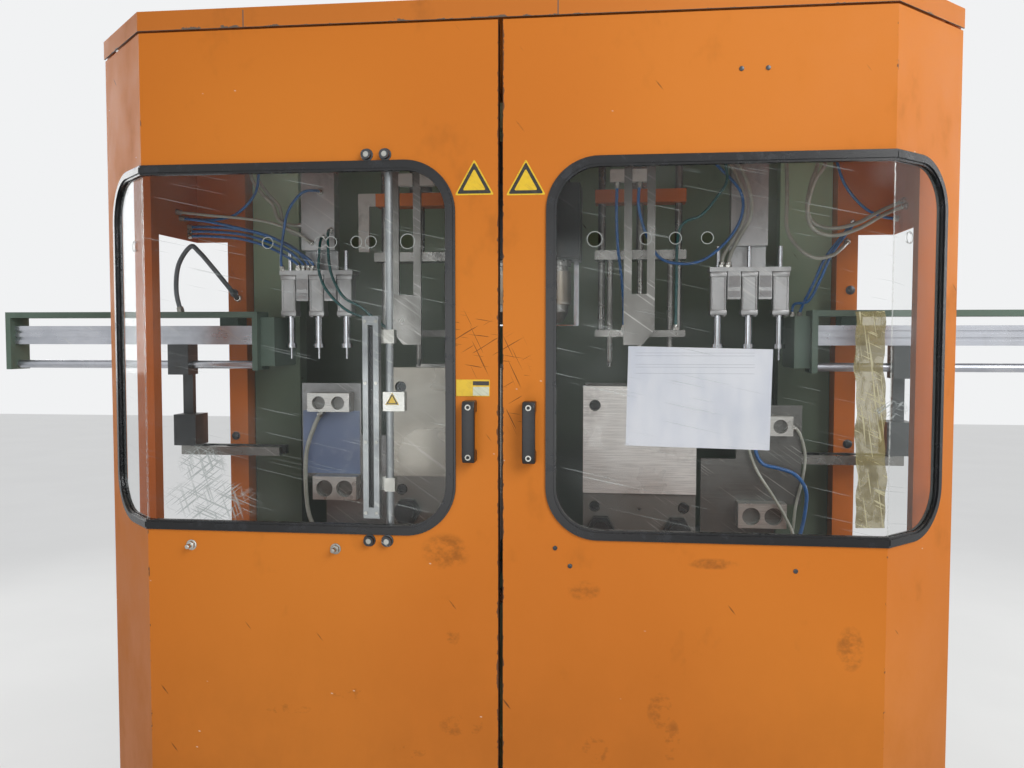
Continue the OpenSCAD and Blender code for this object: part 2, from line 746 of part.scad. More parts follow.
module blow_frames() color(steel) for (left = [false, true]) on_side(left) {
    beam = beam_z0;
    plate_t = 18;
    // Yoke: two bars joined by a plate with a cut-off corner
    for (s = [-1, 1])
        box([yoke_x + s * yoke_pitch / 2 - yoke_bar_w / 2, yoke_x + s * yoke_pitch / 2 + yoke_bar_w / 2],
            [yoke_depth, yoke_depth + 12], [yoke_plate_z + flat, beam_z0 + 20]);
    half = (yoke_pitch + yoke_bar_w) / 2;
    translate([yoke_x, yd(yoke_depth + 12), 0]) rotate([90, 0, 0]) linear_extrude(12)
        polygon([[-half, yoke_plate_z], [half, yoke_plate_z], [half, yoke_plate_z - 91],
            [half - 30, yoke_plate_z - 129], [-half, yoke_plate_z - 129]]);
    // Guide columns and the lower guide plate
    for (s = [-1, 1])
        bar_z(station_x + s * column_pitch / 2, column_depth, [guide_plate_z + plate_t + flat, beam], column_d / 2);
    difference() {
        box([station_x - column_pitch / 2 - 16, station_x + column_pitch / 2 + 16],
            [parting_depth - 35, column_depth + 20], [guide_plate_z, guide_plate_z + plate_t]);
        for (k = [-1:1]) bar_z(station_x + k * cavity_pitch, parting_depth,
            [guide_plate_z - 1, guide_plate_z + plate_t + 1], pin_d / 2 + run);
    }
    // Lift cylinder between the bridge and the crossbeam
    difference() {
        bar_z(station_x, column_depth, [bridge_z + bridge_t, beam], 32);
        bar_z(station_x, column_depth, [bridge_z + bridge_t - 1, beam - 20], lift_rod_d / 2 + run);
    }
}

module valve_blocks() color(alu) for (left = [false, true]) on_side(left) {
    for (x = [yoke_x - yoke_pitch / 2 - yoke_bar_w / 2 - 36, yoke_x - yoke_pitch / 2 + yoke_bar_w / 2])
        box([x, x + 36], [yoke_depth - 9, yoke_depth + 15], [1940, 1971]);
    // Plate that hangs beside the bridge on the left
    if (left) {
        x = station_x + column_pitch / 2 + 18;
        box([x, x + 50], [column_depth - 35, column_depth - 23], [bridge_z, bridge_z + bridge_t]);
        box([x + 19, x + 49], [column_depth - 35, column_depth - 23], [1789, bridge_z + 1]);
    }
}

module blow_bridges() color(orange) for (left = [false, true]) on_side(left) difference() {
    box([station_x - column_pitch / 2 - 18, station_x + column_pitch / 2 + 18],
        [column_depth - 35, column_depth + 30], [bridge_z, bridge_z + bridge_t]);
    for (s = [-1, 1]) bar_z(station_x + s * column_pitch / 2, column_depth,
        [bridge_z - 1, bridge_z + bridge_t + 1], column_d / 2 + run);
    bar_z(station_x, column_depth, [bridge_z - 1, bridge_z + bridge_t + 1], lift_rod_d / 2 + run);
}

module blow_head(left) color(chrome) on_side(left) {
    difference() {
        box([station_x - column_pitch / 2 - 18, station_x + column_pitch / 2 + 18],
            [parting_depth - 18, column_depth + 20], [crosshead_z, crosshead_z + crosshead_t]);
        for (s = [-1, 1]) bar_z(station_x + s * column_pitch / 2, column_depth,
            [crosshead_z - 1, crosshead_z + crosshead_t + 1], column_d / 2 + run);
    }
    // The lift rod stays in its cylinder over the whole travel
    bar_z(station_x, column_depth,
        [crosshead_z + crosshead_t - 1, bridge_z + bridge_t + blow_travel + 10], lift_rod_d / 2);
    for (k = [-1:1]) {
        bar_z(station_x + k * cavity_pitch, parting_depth, [pin_tip_z + 20, crosshead_z + 1], pin_d / 2);
        translate([station_x + k * cavity_pitch, yd(parting_depth), pin_tip_z])
            cylinder(h = 20.5, r1 = pin_d / 4, r2 = pin_d / 2);
    }
}

module spindle_units() color(alu) for (left = [false, true]) on_side(left) {
    half = 48;
    box([spindle_x - half, spindle_x + half], [parting_depth + 32, parting_depth + 44], [cyl_z1, beam_z0]);
    box([spindle_x - 48, spindle_x + 48], [parting_depth - 2, parting_depth + 33], [cyl_z1 + 70, 2010]);
    difference() {
        union() {
            box([spindle_x - cavity_pitch - 24, spindle_x + cavity_pitch + 24],
                [parting_depth - 24, parting_depth + 44], [cyl_z1, cyl_z1 + 12]);
            for (k = [-1:1]) box([spindle_x + k * cavity_pitch - cyl_sq / 2, spindle_x + k * cavity_pitch + cyl_sq / 2],
                [parting_depth - cyl_sq / 2, parting_depth + cyl_sq / 2], [cyl_z0, cyl_z1 + 1]);
            for (s = [-1, 1]) box([spindle_x + s * cavity_pitch / 2 - 17, spindle_x + s * cavity_pitch / 2 + 17],
                [parting_depth - 22, parting_depth + 10], [cyl_z0 + 40, cyl_z1 + 1]);
        }
        for (k = [-1:1]) bar_z(spindle_x + k * cavity_pitch, parting_depth, [cyl_z0 - 1, cyl_z1 + 14], 6 + run);
    }
}

module spindles(left) color(chrome) on_side(left) for (k = [-1:1]) {
    x = spindle_x + k * cavity_pitch;
    bar_z(x, parting_depth, [cyl_z0 - 10, cyl_z1 + spindle_travel + 8], 6);
    bar_z(x, parting_depth, [1532, cyl_z0 - clear], spindle_d / 2);
    bar_z(x, parting_depth, [1521, 1533], spindle_d / 2 + 5);
    bar_z(x, parting_depth, [1490, 1522], 4);
}

/* Take-out units */

module takeout_beams() color(green) for (left = [false, true]) on_side(left) {
    z0 = takeout_z1 - takeout_h;
    plate = 15;
    box([takeout_in, takeout_out], [beam_front, beam_back], [takeout_z1 - plate - 1, takeout_z1]);
    for (x = [takeout_in, takeout_out - plate]) difference() {
        box([x, x + plate], [beam_front, beam_back], [z0, takeout_z1 - plate]);
        bar_x([x - 1, x + plate + 1], rod_depth, rod_z, guide_d / 2 + run);
    }
    // Brackets back to the rear post and to the upright
    box([body_half_w - rear_post_w, body_half_w], [beam_back - 1, rear_post_depth],
        [takeout_z1 - 60, takeout_z1]);
    box([takeout_in - 40, takeout_in + 1], [beam_front + 25, upright_depth], [z0 + 12, takeout_z1 - plate]);
}

axis_z = [takeout_z1 - 91, takeout_z1 - 39];
module linear_axes() color(chrome) for (left = [false, true]) on_side(left) {
    // Extruded profile with two long grooves, between the end plates
    difference() {
        box([takeout_in + 15, takeout_out - 15], [beam_front + 20, beam_back - 15], axis_z);
        for (k = [13, 31])
            box([takeout_in + 14, takeout_out - 14], [beam_front + 19, beam_front + 26],
                [axis_z[0] + k, axis_z[0] + k + 8]);
    }
    bar_x([takeout_in + 2, takeout_out], rod_depth, rod_z, guide_d / 2);
}

module takeout_arm(left) color(dark) on_side(left) difference() {
    union() {
        box([arm_x - 30, arm_x + 30], [beam_front + 8, beam_back - 16], [rod_z - 28, axis_z[0] - flat]);
        box([arm_x - 15, arm_x + 15], [parting_depth - 8, parting_depth + 10], [grip_z + 100, rod_z - 20]);
        box([arm_x - 36, arm_x + 29], [parting_depth - 40, parting_depth + 40], [grip_z + 14, grip_z + 102]);
        // Fixed rear jaw
        box([arm_x - 281, arm_x + 9], [parting_depth + 14, parting_depth + 36], [grip_z - 12, grip_z + 12]);
        box([arm_x - 20, arm_x + 9], [parting_depth + 14, parting_depth + 36], [grip_z + 11, grip_z + 20]);
    }
    bar_x([arm_x - 31, arm_x + 31], rod_depth, rod_z, guide_d / 2 + run);
    for (k = [-1:1]) bar_z(arm_x - 138 + k * cavity_pitch, parting_depth, [grip_z - 13, grip_z + 13],
        bottle_d / 2 + clear);
}

module takeout_jaw(left) color(dark) on_side(left) difference() {
    union() {
        box([arm_x - 281, arm_x + 9], [parting_depth - 36, parting_depth - 14], [grip_z - 12, grip_z + 12]);
        box([arm_x - 20, arm_x + 9], [parting_depth - 36, parting_depth - 14], [grip_z + 11, grip_z + 14 - flat]);
    }
    for (k = [-1:1]) bar_z(arm_x - 138 + k * cavity_pitch, parting_depth, [grip_z - 13, grip_z + 15],
        bottle_d / 2 + clear);
}

/* Extruder and head */

die_r = 38;
module extrusion_head() color(dark) {
    half = cavity_pitch + 64;
    box([-half, half], [parting_depth - 70, parting_depth + 85], [head_z0, head_z1]);
    bar_y(0, [parting_depth + 84, barrel_start - 24], extruder_z, 45);
    bar_y(0, [barrel_start - 30, barrel_start], extruder_z, barrel_d / 2 + 10);
    // Wall-thickness cylinders above the dies
    for (k = [-1:1]) {
        bar_z(k * cavity_pitch, parting_depth, [head_z1 - 1, head_z1 + 30], 34);
        bar_z(k * cavity_pitch, parting_depth, [head_z1 + 29, head_z1 + 120], 27);
    }
}

module die_heads() color(steel) for (k = [-1:1]) {
    x = k * cavity_pitch;
    bar_z(x, parting_depth, [die_z + 30, head_z0], 30);
    bar_z(x, parting_depth, [head_z0 - 16, head_z0], die_r);
    translate([x, yd(parting_depth), die_z]) cylinder(h = 31, r1 = 16, r2 = 30);
}

// Knife: a blade below the dies on two arms that slide under the head
knife_clear = 4;
module parison_knife() color(chrome) {
    z = die_z - 2 * knife_clear;
    front = parting_depth + die_r + 7;
    arm_in = cavity_pitch + die_r + knife_clear;
    box([-arm_in - 14, arm_in + 14], [front, front + 60], [z, z + knife_clear]);
    for (s = [-1, 1])
        box([s > 0 ? arm_in : -arm_in - 14, s > 0 ? arm_in + 14 : -arm_in],
            [front + 20, front + 50], [z + knife_clear - 1, head_z0 - flat]);
}

module extruder_barrel() color(steel) {
    bore = screw_d / 2 + clear;
    throat_d0 = gearbox_depth - 210;
    difference() {
        union() {
            bar_y(0, [barrel_start, gearbox_depth], extruder_z, barrel_d / 2);
            bar_y(0, [barrel_start, barrel_start + 30], extruder_z, barrel_d / 2 + 10);
            bar_y(0, [gearbox_depth - 30, gearbox_depth], extruder_z, barrel_d / 2 + 25);
            box([-90, 90], [throat_d0, throat_d0 + 170], [extruder_z - 90, extruder_z + 105]);
        }
        bar_y(0, [barrel_start - 1, gearbox_depth + 1], extruder_z, bore);
        bar_z(0, throat_d0 + 85, [extruder_z, extruder_z + 106], 35);
    }
}

screw_shaft_r = screw_d * 0.36 - 4;
// Screw: a round core with one flight, drawn as a twisted bar of eight slices a turn
module extruder_screw() color(chrome) {
    len = gearbox_depth - barrel_start - 40;
    core = screw_d * 0.36;
    turns = (len - 60) / (2 * screw_d);
    translate([0, yd(barrel_start + 20), extruder_z]) rotate([-90, 0, 0]) {
        cylinder(h = len, r = core);
        translate([0, 0, -12]) cylinder(h = 12.5, r1 = 6, r2 = core);
        linear_extrude(len - 60, twist = -360 * turns, slices = 8 * floor(turns), segments = 4)
            translate([core - 3, -5]) square([screw_d / 2 - core + 3 - 0.5, 10]);
        translate([0, 0, len - 1]) cylinder(h = 61 - clear, r = screw_shaft_r);
    }
}

module heater_bands() color("#8E8A82") {
    // Runs of zones before the rear wall and behind the saddle: first depth, last depth, number
    runs = [[barrel_start + 40, rear_wall_depth - 10, 2], [rear_wall_depth + 150, gearbox_depth - 230, 4]];
    for (r = runs, k = [0:r[2] - 1]) {
        pitch = (r[1] - r[0]) / r[2];
        d0 = r[0] + pitch * k;
        difference() {
            union() {
                bar_y(0, [d0 + 8, d0 + pitch - 8], extruder_z, barrel_d / 2 + 14);
                box([-28, 28], [d0 + 20, d0 + pitch - 40],
                    [extruder_z + barrel_d / 2, extruder_z + barrel_d / 2 + 42]);
            }
            bar_y(0, [d0, d0 + pitch], extruder_z, barrel_d / 2 + run);
        }
    }
    for (k = [-1:1]) difference() {
        bar_z(k * cavity_pitch, parting_depth, [die_z + 50, head_z0 - 30], die_r);
        bar_z(k * cavity_pitch, parting_depth, [die_z + 49, head_z0 - 29], 30 + run);
    }
}

module feed_hopper() color(alu) {
    d = gearbox_depth - 125;
    z0 = extruder_z + 105;
    cone = 260;
    wall = 3;
    translate([0, yd(d), z0]) {
        rotate_extrude() polygon([
            [38, 0], [90, 0], [90, 10], [42, 10], [42, 60], [hopper_d / 2, 60 + cone],
            [hopper_d / 2, 60 + cone + hopper_h], [0, 60 + cone + hopper_h + 40],
            [0, 60 + cone + hopper_h + 40 - wall], [hopper_d / 2 - wall, 60 + cone + hopper_h - wall],
            [hopper_d / 2 - wall, 62 + cone], [38, 62]]);
        translate([0, 0, 60 + cone + hopper_h + 38]) cylinder(h = 24, r = 30);
    }
}

module gearbox() color(green) {
    d = [gearbox_depth, motor_depth];
    half = 200;
    // Cast case with ribs and a bolted foot flange
    difference() {
        box([-half, half], [d[0], d[1] - 20], [cabinet_top + 24, extruder_z + 190]);
        bar_y(0, [d[0] - 1, d[0] + 42], extruder_z, screw_shaft_r + run);
    }
    box([-half - 40, half + 40], [d[0] + 10, d[1] - 30], [cabinet_top, cabinet_top + 25]);
    for (s = [-1, 1], k = [0:3])
        box([s > 0 ? half - 1 : -half - 18, s > 0 ? half + 18 : -half + 1],
            [d[0] + 30 + 75 * k, d[0] + 42 + 75 * k], [cabinet_top + 24, extruder_z + 150]);
    bar_y(0, [d[1] - 21, d[1]], motor_z, motor_d / 2 + 15);
}
motor_z = extruder_z - 60;

module drive_motor() color("#5F7F86") {
    r = motor_d / 2;
    d0 = motor_depth;
    bar_y(0, [d0, d0 + 30], motor_z, r + 12);
    bar_y(0, [d0 + 29, d0 + motor_len - 90], motor_z, r - 16);
    // Cooling ribs along the stator
    for (k = [0:23]) translate([0, yd(d0 + 29), motor_z]) rotate([-90, 0, 0]) rotate([0, 0, 15 * k])
        translate([r - 18, -3, 0]) cube([14, 6, motor_len - 140]);
    bar_y(0, [d0 + motor_len - 110, d0 + motor_len], motor_z, r);
    box([-70, 70], [d0 + 90, d0 + 230], [motor_z + r - 20, motor_z + r + 60]);
}

/* Hoses: each is a tube swept through places given as across, depth and height */

hose_sides = 8;
function unit(v) = v / norm(v);
// Directions square to each tangent, carried along the hose without a twist
function carry(t, a, i = 0) = i == len(t) ? [] :
    let (b = unit(a - (a * t[i]) * t[i])) concat([b], carry(t, b, i + 1));
function ring(p, t, a, r) = let (b = cross(t, a))
    [for (i = [0:hose_sides - 1]) p + r * (cos(360 * i / hose_sides) * a + sin(360 * i / hose_sides) * b)];
// A smooth curve through the places, with one more place between each two
function bend(p, i, t) = let (a = p[max(i - 1, 0)], b = p[i], c = p[i + 1], d = p[min(i + 2, len(p) - 1)])
    0.5 * (2 * b + (c - a) * t + (2 * a - 5 * b + 4 * c - d) * t * t + (3 * b - a - 3 * c + d) * t * t * t);
function smooth(p) = concat([for (i = [0:len(p) - 2], t = [0, 0.5]) bend(p, i, t)], [p[len(p) - 1]]);
// A hose of radius r that leaves its first place along "from" and reaches its last along "to"
module hose(route, r, from, to) {
    n = hose_sides;
    pts = [for (q = smooth(route)) [q[0], yd(q[1]), q[2]]];
    m = len(pts);
    t = [for (i = [0:m - 1]) i == 0 ? from : i == m - 1 ? to : unit(pts[i + 1] - pts[i - 1])];
    a = carry(t, abs(from[2]) > 0.9 ? [1, 0, 0] : [0, 0, 1]);
    rings = [for (i = [0:m - 1]) each ring(pts[i], t[i], a[i], r)];
    polyhedron(rings, concat(
        [for (i = [1:n - 2]) [0, i, i + 1]],
        [for (j = [0:m - 2], i = [0:n - 1]) [j * n + i, (j + 1) * n + i, (j + 1) * n + (i + 1) % n]],
        [for (j = [0:m - 2], i = [0:n - 1]) [j * n + i, (j + 1) * n + (i + 1) % n, j * n + (i + 1) % n]],
        [for (i = [1:n - 2]) [(m - 1) * n, (m - 1) * n + i + 1, (m - 1) * n + i]]));
}
up = [0, 0, 1];
down = [0, 0, -1];
outward = [1, 0, 0];
backward = [0, 1, 0];
forward = [0, -1, 0];
plate_z = cyl_z1 + 12;

module blue_hoses() color("#2F6FB4") {
    r = 4;
    // From the right valve blocks, and up from the guide plate, to the arms of the crossbeam
    hose([[243, 408, 1940], [242, 407, 1860], [246, 425, 1780], [256, 480, 1700], [262, 540, 1630],
        [262, 552, 1570]], r, down, down);
    hose([[299, 408, 1940], [297, 402, 1880], [314, 420, 1819], [349, 450, 1757], [405, 480, 1741],
        [468, 500, 1753], [530, 505, 1805], [563, 505, 1867], [559, 512, 1930], [502, 520, 1997],
        [450, 520, 2050], [380, 505, 2110], [352, 500, beam_z0]], r, down, up);
    hose([[400, 552, 1570], [400, 540, 1680], [404, 490, 1830], [458, 470, 1864], [498, 480, 1912],
        [523, 488, 1960], [500, 490, 2030], [400, 470, 2100], [330, 465, beam_z0]], r, up, up);
    // From the crossbeam to the right side panel, and from the rear post to the take-out's bracket
    hose([[815, upright_depth, 2110], [818, 650, 2085], [823, 605, 2009], [844, 600, 1950],
        [890, 600, 1895], [940, 606, 1870], [panel_x, 610, 1865]], r, forward, outward);
    hose([[862, 650, 1850], [848, 618, 1832], [797, 612, 1764], [770, 618, 1700], [745, 636, 1640],
        [735, 645, 1606]], r, forward, down);
    hose([[876, 650, 1862], [864, 614, 1846], [813, 606, 1775], [786, 610, 1710], [757, 620, 1650],
        [722, 640, 1640], [718, 645, 1606]], r, forward, down);
    on_side(true) {
        // Bundle from the left side panel to the top of the spindle unit
        for (k = [0:2]) hose([[panel_x, 590, 1840 + 13 * k], [912, 580, 1838 + 13 * k],
            [815 - 2 * k, 570, 1828 + 13 * k], [738 - 4 * k, 562, 1806 + 13 * k],
            [680 - 10 * k, 560, 1778 + 12 * k], [648 - 14 * k, 562, 1754 + 3 * k],
            [645 - 15 * k, 564, plate_z]], r, -outward, down);
        // Single hoses to the panel and to the unit's back
        hose([[760, upright_depth, 2110], [761, 650, 2095], [765, 590, 2030], [771, 568, 1954],
            [825, 562, 1897], [895, 562, 1882], [panel_x, 565, 1887]], r, forward, outward);
        hose([[panel_x, 540, 1885], [895, 546, 1874], [795, 546, 1852], [722, 543, 1832], [660, 546, 1800],
            [606, 556, 1762], [602, 562, plate_z]], r, -outward, down);
        hose([[panel_x, 520, 1900], [895, 532, 1891], [794, 546, 1882], [718, 546, 1869], [646, 545, 1842],
            [613, 558, 1818], [610, 578, 1815]], r, -outward, backward);
        hose([[690, 562, plate_z], [690, 548, 1768], [672, 522, 1840], [655, 518, 1900], [620, 528, 1948],
            [588, 552, 1957], [583, 578, 1955]], r, up, backward);
        // Two hoses across to the guide plate of the blow pins
        hose([[576, 578, 1830], [576, 552, 1822], [574, 530, 1780], [570, 518, 1727], [545, 510, 1676],
            [491, 500, 1626], [430, 500, 1600], [404, 518, 1572], [400, 545, 1561]], r, forward, backward);
        hose([[556, 578, 1850], [554, 550, 1843], [548, 528, 1800], [536, 515, 1727], [498, 500, 1662],
            [447, 495, 1633], [410, 500, 1600], [380, 522, 1574], [376, 545, 1561]], r, forward, backward);
    }
}

module clear_hoses() color([0.8, 0.83, 0.82, 0.6]) {
    r = 5;
    // Thick pair over the right spindle unit, and loops to the right side panel
    for (k = [0, 1]) hose([[520 + 17 * k, 566 - 3 * k, plate_z], [524 + 17 * k, 558 - 3 * k, 1768],
        [547 + 16 * k, 545 - 4 * k, 1810 + 5 * k], [573 + 16 * k, 530 - 4 * k, 1863 + 5 * k],
        [569 + 16 * k, 530 - 4 * k, 1925 + 6 * k], [545 + 16 * k, 545 - 4 * k, 1990 + 10 * k],
        [515 + 12 * k, 600 - 10 * k, 2060 + 16 * k], [500 + 20 * k, 690, 2110], [500 + 20 * k, 725, beam_z0]],
        r, up, up);
    for (k = [0, 1]) hose([[775 + 20 * k, upright_depth, 2100], [772 + 18 * k, 650, 2085],
        [763 + 17 * k, 570 - 14 * k, 2003], [743 + 5 * k, 542 - 16 * k, 1951],
        [730 - 2 * k, 522 - 16 * k, 1887 - 14 * k], [747 - 2 * k, 520 - 16 * k, 1845 - 18 * k],
        [794, 520 - 16 * k, 1831 - 20 * k], [859, 535 - 18 * k, 1846 - 16 * k],
        [924, 550 - 20 * k, 1880 - 14 * k], [panel_x, 556 - 22 * k, 1905 - 16 * k]], r, forward, outward);
    hose([[700, upright_depth, 2080], [697, 650, 2055], [690, 585, 1930], [687, 560, 1837], [712, 542, 1786],
        [753, 540, 1758], [804, 560, 1766], [845, 600, 1797], [862, 650, 1810]], r, forward, backward);
    on_side(true) {
        // Grey hose that arches from the beam's top to the rear post
        hose([[985, 545, takeout_z1], [998, 545, 1681], [990, 545, 1754], [954, 545, 1805], [928, 545, 1790],
            [890, 548, 1746], [856, 570, 1695], [855, 620, 1668], [860, 650, 1664]], 7, up, backward);
        // Pair from the crossbeam to the side of the spindle unit's block
        for (k = [0, 1]) hose([[790 + 16 * k, upright_depth, 2100], [788 + 16 * k, 655 - 10 * k, 2080],
            [785 + 14 * k, 622 - 13 * k, 2012], [750 + 14 * k, 611 - 13 * k, 1960],
            [715 + 14 * k, 605 - 13 * k, 1922 + 4 * k], [702 + 10 * k, 601 - 13 * k, 1873 + 12 * k],
            [672 + 8 * k, 597 - 7 * k, 1845 + 23 * k], [641, 596, 1840 + 26 * k]], r, forward, -outward);
    }
}

// Hoses that ride on a carriage, between its port blocks and the deck
module carriage_hoses(left) color("#3C78B4") station(left) {
    top = 1300;
    if (left) {
        hose([[351, 470, top], [372, 470, 1263], [396, 470, 1191], [400, 470, 1098], [392, 470, 1019],
            [372, 470, deck_z1]], 6, down, down);
    } else {
        hose([[297, 470, top], [297, 468, 1256], [315, 462, 1226], [354, 458, 1216], [395, 458, 1200],
            [422, 460, 1159], [421, 468, 1095], [408, 470, 1035], [390, 470, 1003], [364, 470, deck_z1]],
            5, down, down);
        hose([[278, 466, top], [280, 458, 1256], [300, 444, 1205], [335, 438, 1150], [367, 434, 1095],
            [390, 438, 1040], [378, 446, 1000], [346, 450, deck_z1]], 4, down, down);
        hose([[386, 482, 1320], [407, 483, 1306], [423, 486, 1250], [419, 487, 1192], [402, 487, 1115],
            [396, 486, 1060], [386, 486, 1010], [360, 486, deck_z1]], 4, outward, down);
    }
}

machine_bed();
levelling_feet();
rear_wall();
roof_canopy();
crossbeam();
shuttle_rails();
rear_cabinet();
door(true);  // door_left
door(false);  // door_right
rubber(true);  // rubber_left
rubber(false);  // rubber_right
pane(true);  // pane_left
pane(false);  // pane_right
handle(true);  // handle_left
handle(false);  // handle_right
carriage(true);  // carriage_left
carriage(false);  // carriage_right
front_platen(true);  // front_platen_left
front_platen(false);  // front_platen_right
rear_platen(true);  // rear_platen_left
rear_platen(false);  // rear_platen_right
mould_front(true);  // mould_front_left
mould_front(false);  // mould_front_right
mould_rear(true);  // mould_rear_left
mould_rear(false);  // mould_rear_right
manifold(true);  // manifold_left
manifold(false);  // manifold_right
blow_frames();
blow_bridges();
blow_head(true);  // blow_head_left
blow_head(false);  // blow_head_right
spindle_units();
spindles(true);  // spindles_left
spindles(false);  // spindles_right
takeout_beams();
linear_axes();
takeout_arm(true);  // takeout_arm_left
takeout_arm(false);  // takeout_arm_right
takeout_jaw(true);  // takeout_jaw_left
takeout_jaw(false);  // takeout_jaw_right
extrusion_head();
die_heads();
parison_knife();
extruder_barrel();
extruder_screw();
heater_bands();
feed_hopper();
gearbox();
drive_motor();
side_walls();
sensor_rail();
door_fittings();
clamp_unit(true);  // clamp_unit_left
clamp_unit(false);  // clamp_unit_right
carriage_hoses(true);  // carriage_hoses_left
carriage_hoses(false);  // carriage_hoses_right
valve_blocks();
blue_hoses();
clear_hoses();
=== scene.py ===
"""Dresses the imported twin-station blow moulding machine for the camera.

Places are given as the part's source gives them: millimetres across, depth behind the flat front of
the doors, and height above the floor. The left station is the right one mirrored.
"""

import logging
import math
from dataclasses import dataclass, field
from enum import Enum

import bmesh
import bpy
from mathutils import Matrix, Vector


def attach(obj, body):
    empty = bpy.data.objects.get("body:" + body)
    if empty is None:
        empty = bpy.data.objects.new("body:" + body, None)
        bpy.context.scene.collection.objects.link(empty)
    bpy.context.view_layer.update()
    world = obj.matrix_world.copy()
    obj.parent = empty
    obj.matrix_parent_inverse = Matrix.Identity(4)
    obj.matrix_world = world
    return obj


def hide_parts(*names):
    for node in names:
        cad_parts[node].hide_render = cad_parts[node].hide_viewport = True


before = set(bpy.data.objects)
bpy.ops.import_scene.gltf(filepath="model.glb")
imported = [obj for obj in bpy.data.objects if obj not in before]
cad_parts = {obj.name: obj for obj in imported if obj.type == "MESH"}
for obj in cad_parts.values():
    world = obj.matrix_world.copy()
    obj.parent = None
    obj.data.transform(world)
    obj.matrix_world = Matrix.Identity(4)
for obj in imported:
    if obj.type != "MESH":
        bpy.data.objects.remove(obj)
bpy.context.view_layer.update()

LOG = logging.getLogger("blow_moulding_machine")

MM = 0.001
DOOR_Y = -1384.0
FRONT_HALF_W = 802.0
HEADER_Z = 2220.0
ROOF_Z = 2262.0
PARTING_DEPTH = 580.0
MANIFOLD_DEPTH = 495.0
PLATEN_DEPTH = 490.0
STATION_X = 305.0
LEFT_IN = 107.0
LIFT = LEFT_IN * math.tan(math.radians(25))
LEFT_OPEN = 90.0
DECK_Z1 = 974.9
BEAM_Z0 = 2150.0
UPRIGHT_DEPTH = 700.0
TAKEOUT_Z1 = 1621.0
SPINDLE_X = 593.0
CAVITY_PITCH = 81.0
CYL_Z0 = 1612.0
CYL_Z1 = 1725.0
PLATE_Z = CYL_Z1 + 12
GEARBOX_DEPTH = 2000.0
MOTOR_DEPTH = 2330.0
REAR_DEPTH = 2810.0
EXTRUDER_Z = 1885.0
REAR_WALL_DEPTH = 1150.0
INNER_HALF_W = 870.0
FRONT = Vector((0, -1, 0))


class Side(Enum):
    """A side of the machine, with the sign that mirrors a place drawn on the right."""

    LEFT = -1
    RIGHT = 1

    @property
    def label(self) -> str:
        """The word that the bodies and nodes of this side end with."""
        return self.name.lower()


class Hose(Enum):
    """The kinds of air and water hose."""

    BLUE = "hose_blue"
    TEAL = "hose_teal"
    CLEAR = "hose_clear"
    GREY = "hose_grey"
    BLACK = "hose_black"


def at(x: float, depth: float, z: float) -> Vector:
    """A place in metres.

    Args:
        x: millimetres across.
        depth: millimetres behind the doors' front.
        z: millimetres above the floor.

    Returns:
        The place in the frame that the model is packed in.
    """
    return Vector((x, DOOR_Y + depth, z)) * MM


def linear(code: str) -> tuple[float, float, float, float]:
    """A colour for a socket.

    Args:
        code: an sRGB colour as hex.

    Returns:
        Linear red, green and blue, and full opacity.
    """
    out = []
    for i in (1, 3, 5):
        v = int(code[i:i + 2], 16) / 255
        out.append(v / 12.92 if v <= 0.04045 else ((v + 0.055) / 1.055) ** 2.4)
    return (out[0], out[1], out[2], 1.0)


def add(tree: bpy.types.NodeTree, kind: str, inputs: dict | None = None,
        **settings: object) -> bpy.types.Node:
    """Adds a node with its settings, values and links.

    Args:
        tree: the material's node tree.
        kind: the node's type name.
        inputs: a value or a socket for each input, by name or number.
        settings: properties of the node.

    Returns:
        The node.
    """
    node = tree.nodes.new(kind)
    for name, value in settings.items():
        setattr(node, name, value)
    for key, value in (inputs or {}).items():
        if isinstance(value, bpy.types.NodeSocket):
            tree.links.new(value, node.inputs[key])
        else:
            node.inputs[key].default_value = value
    return node


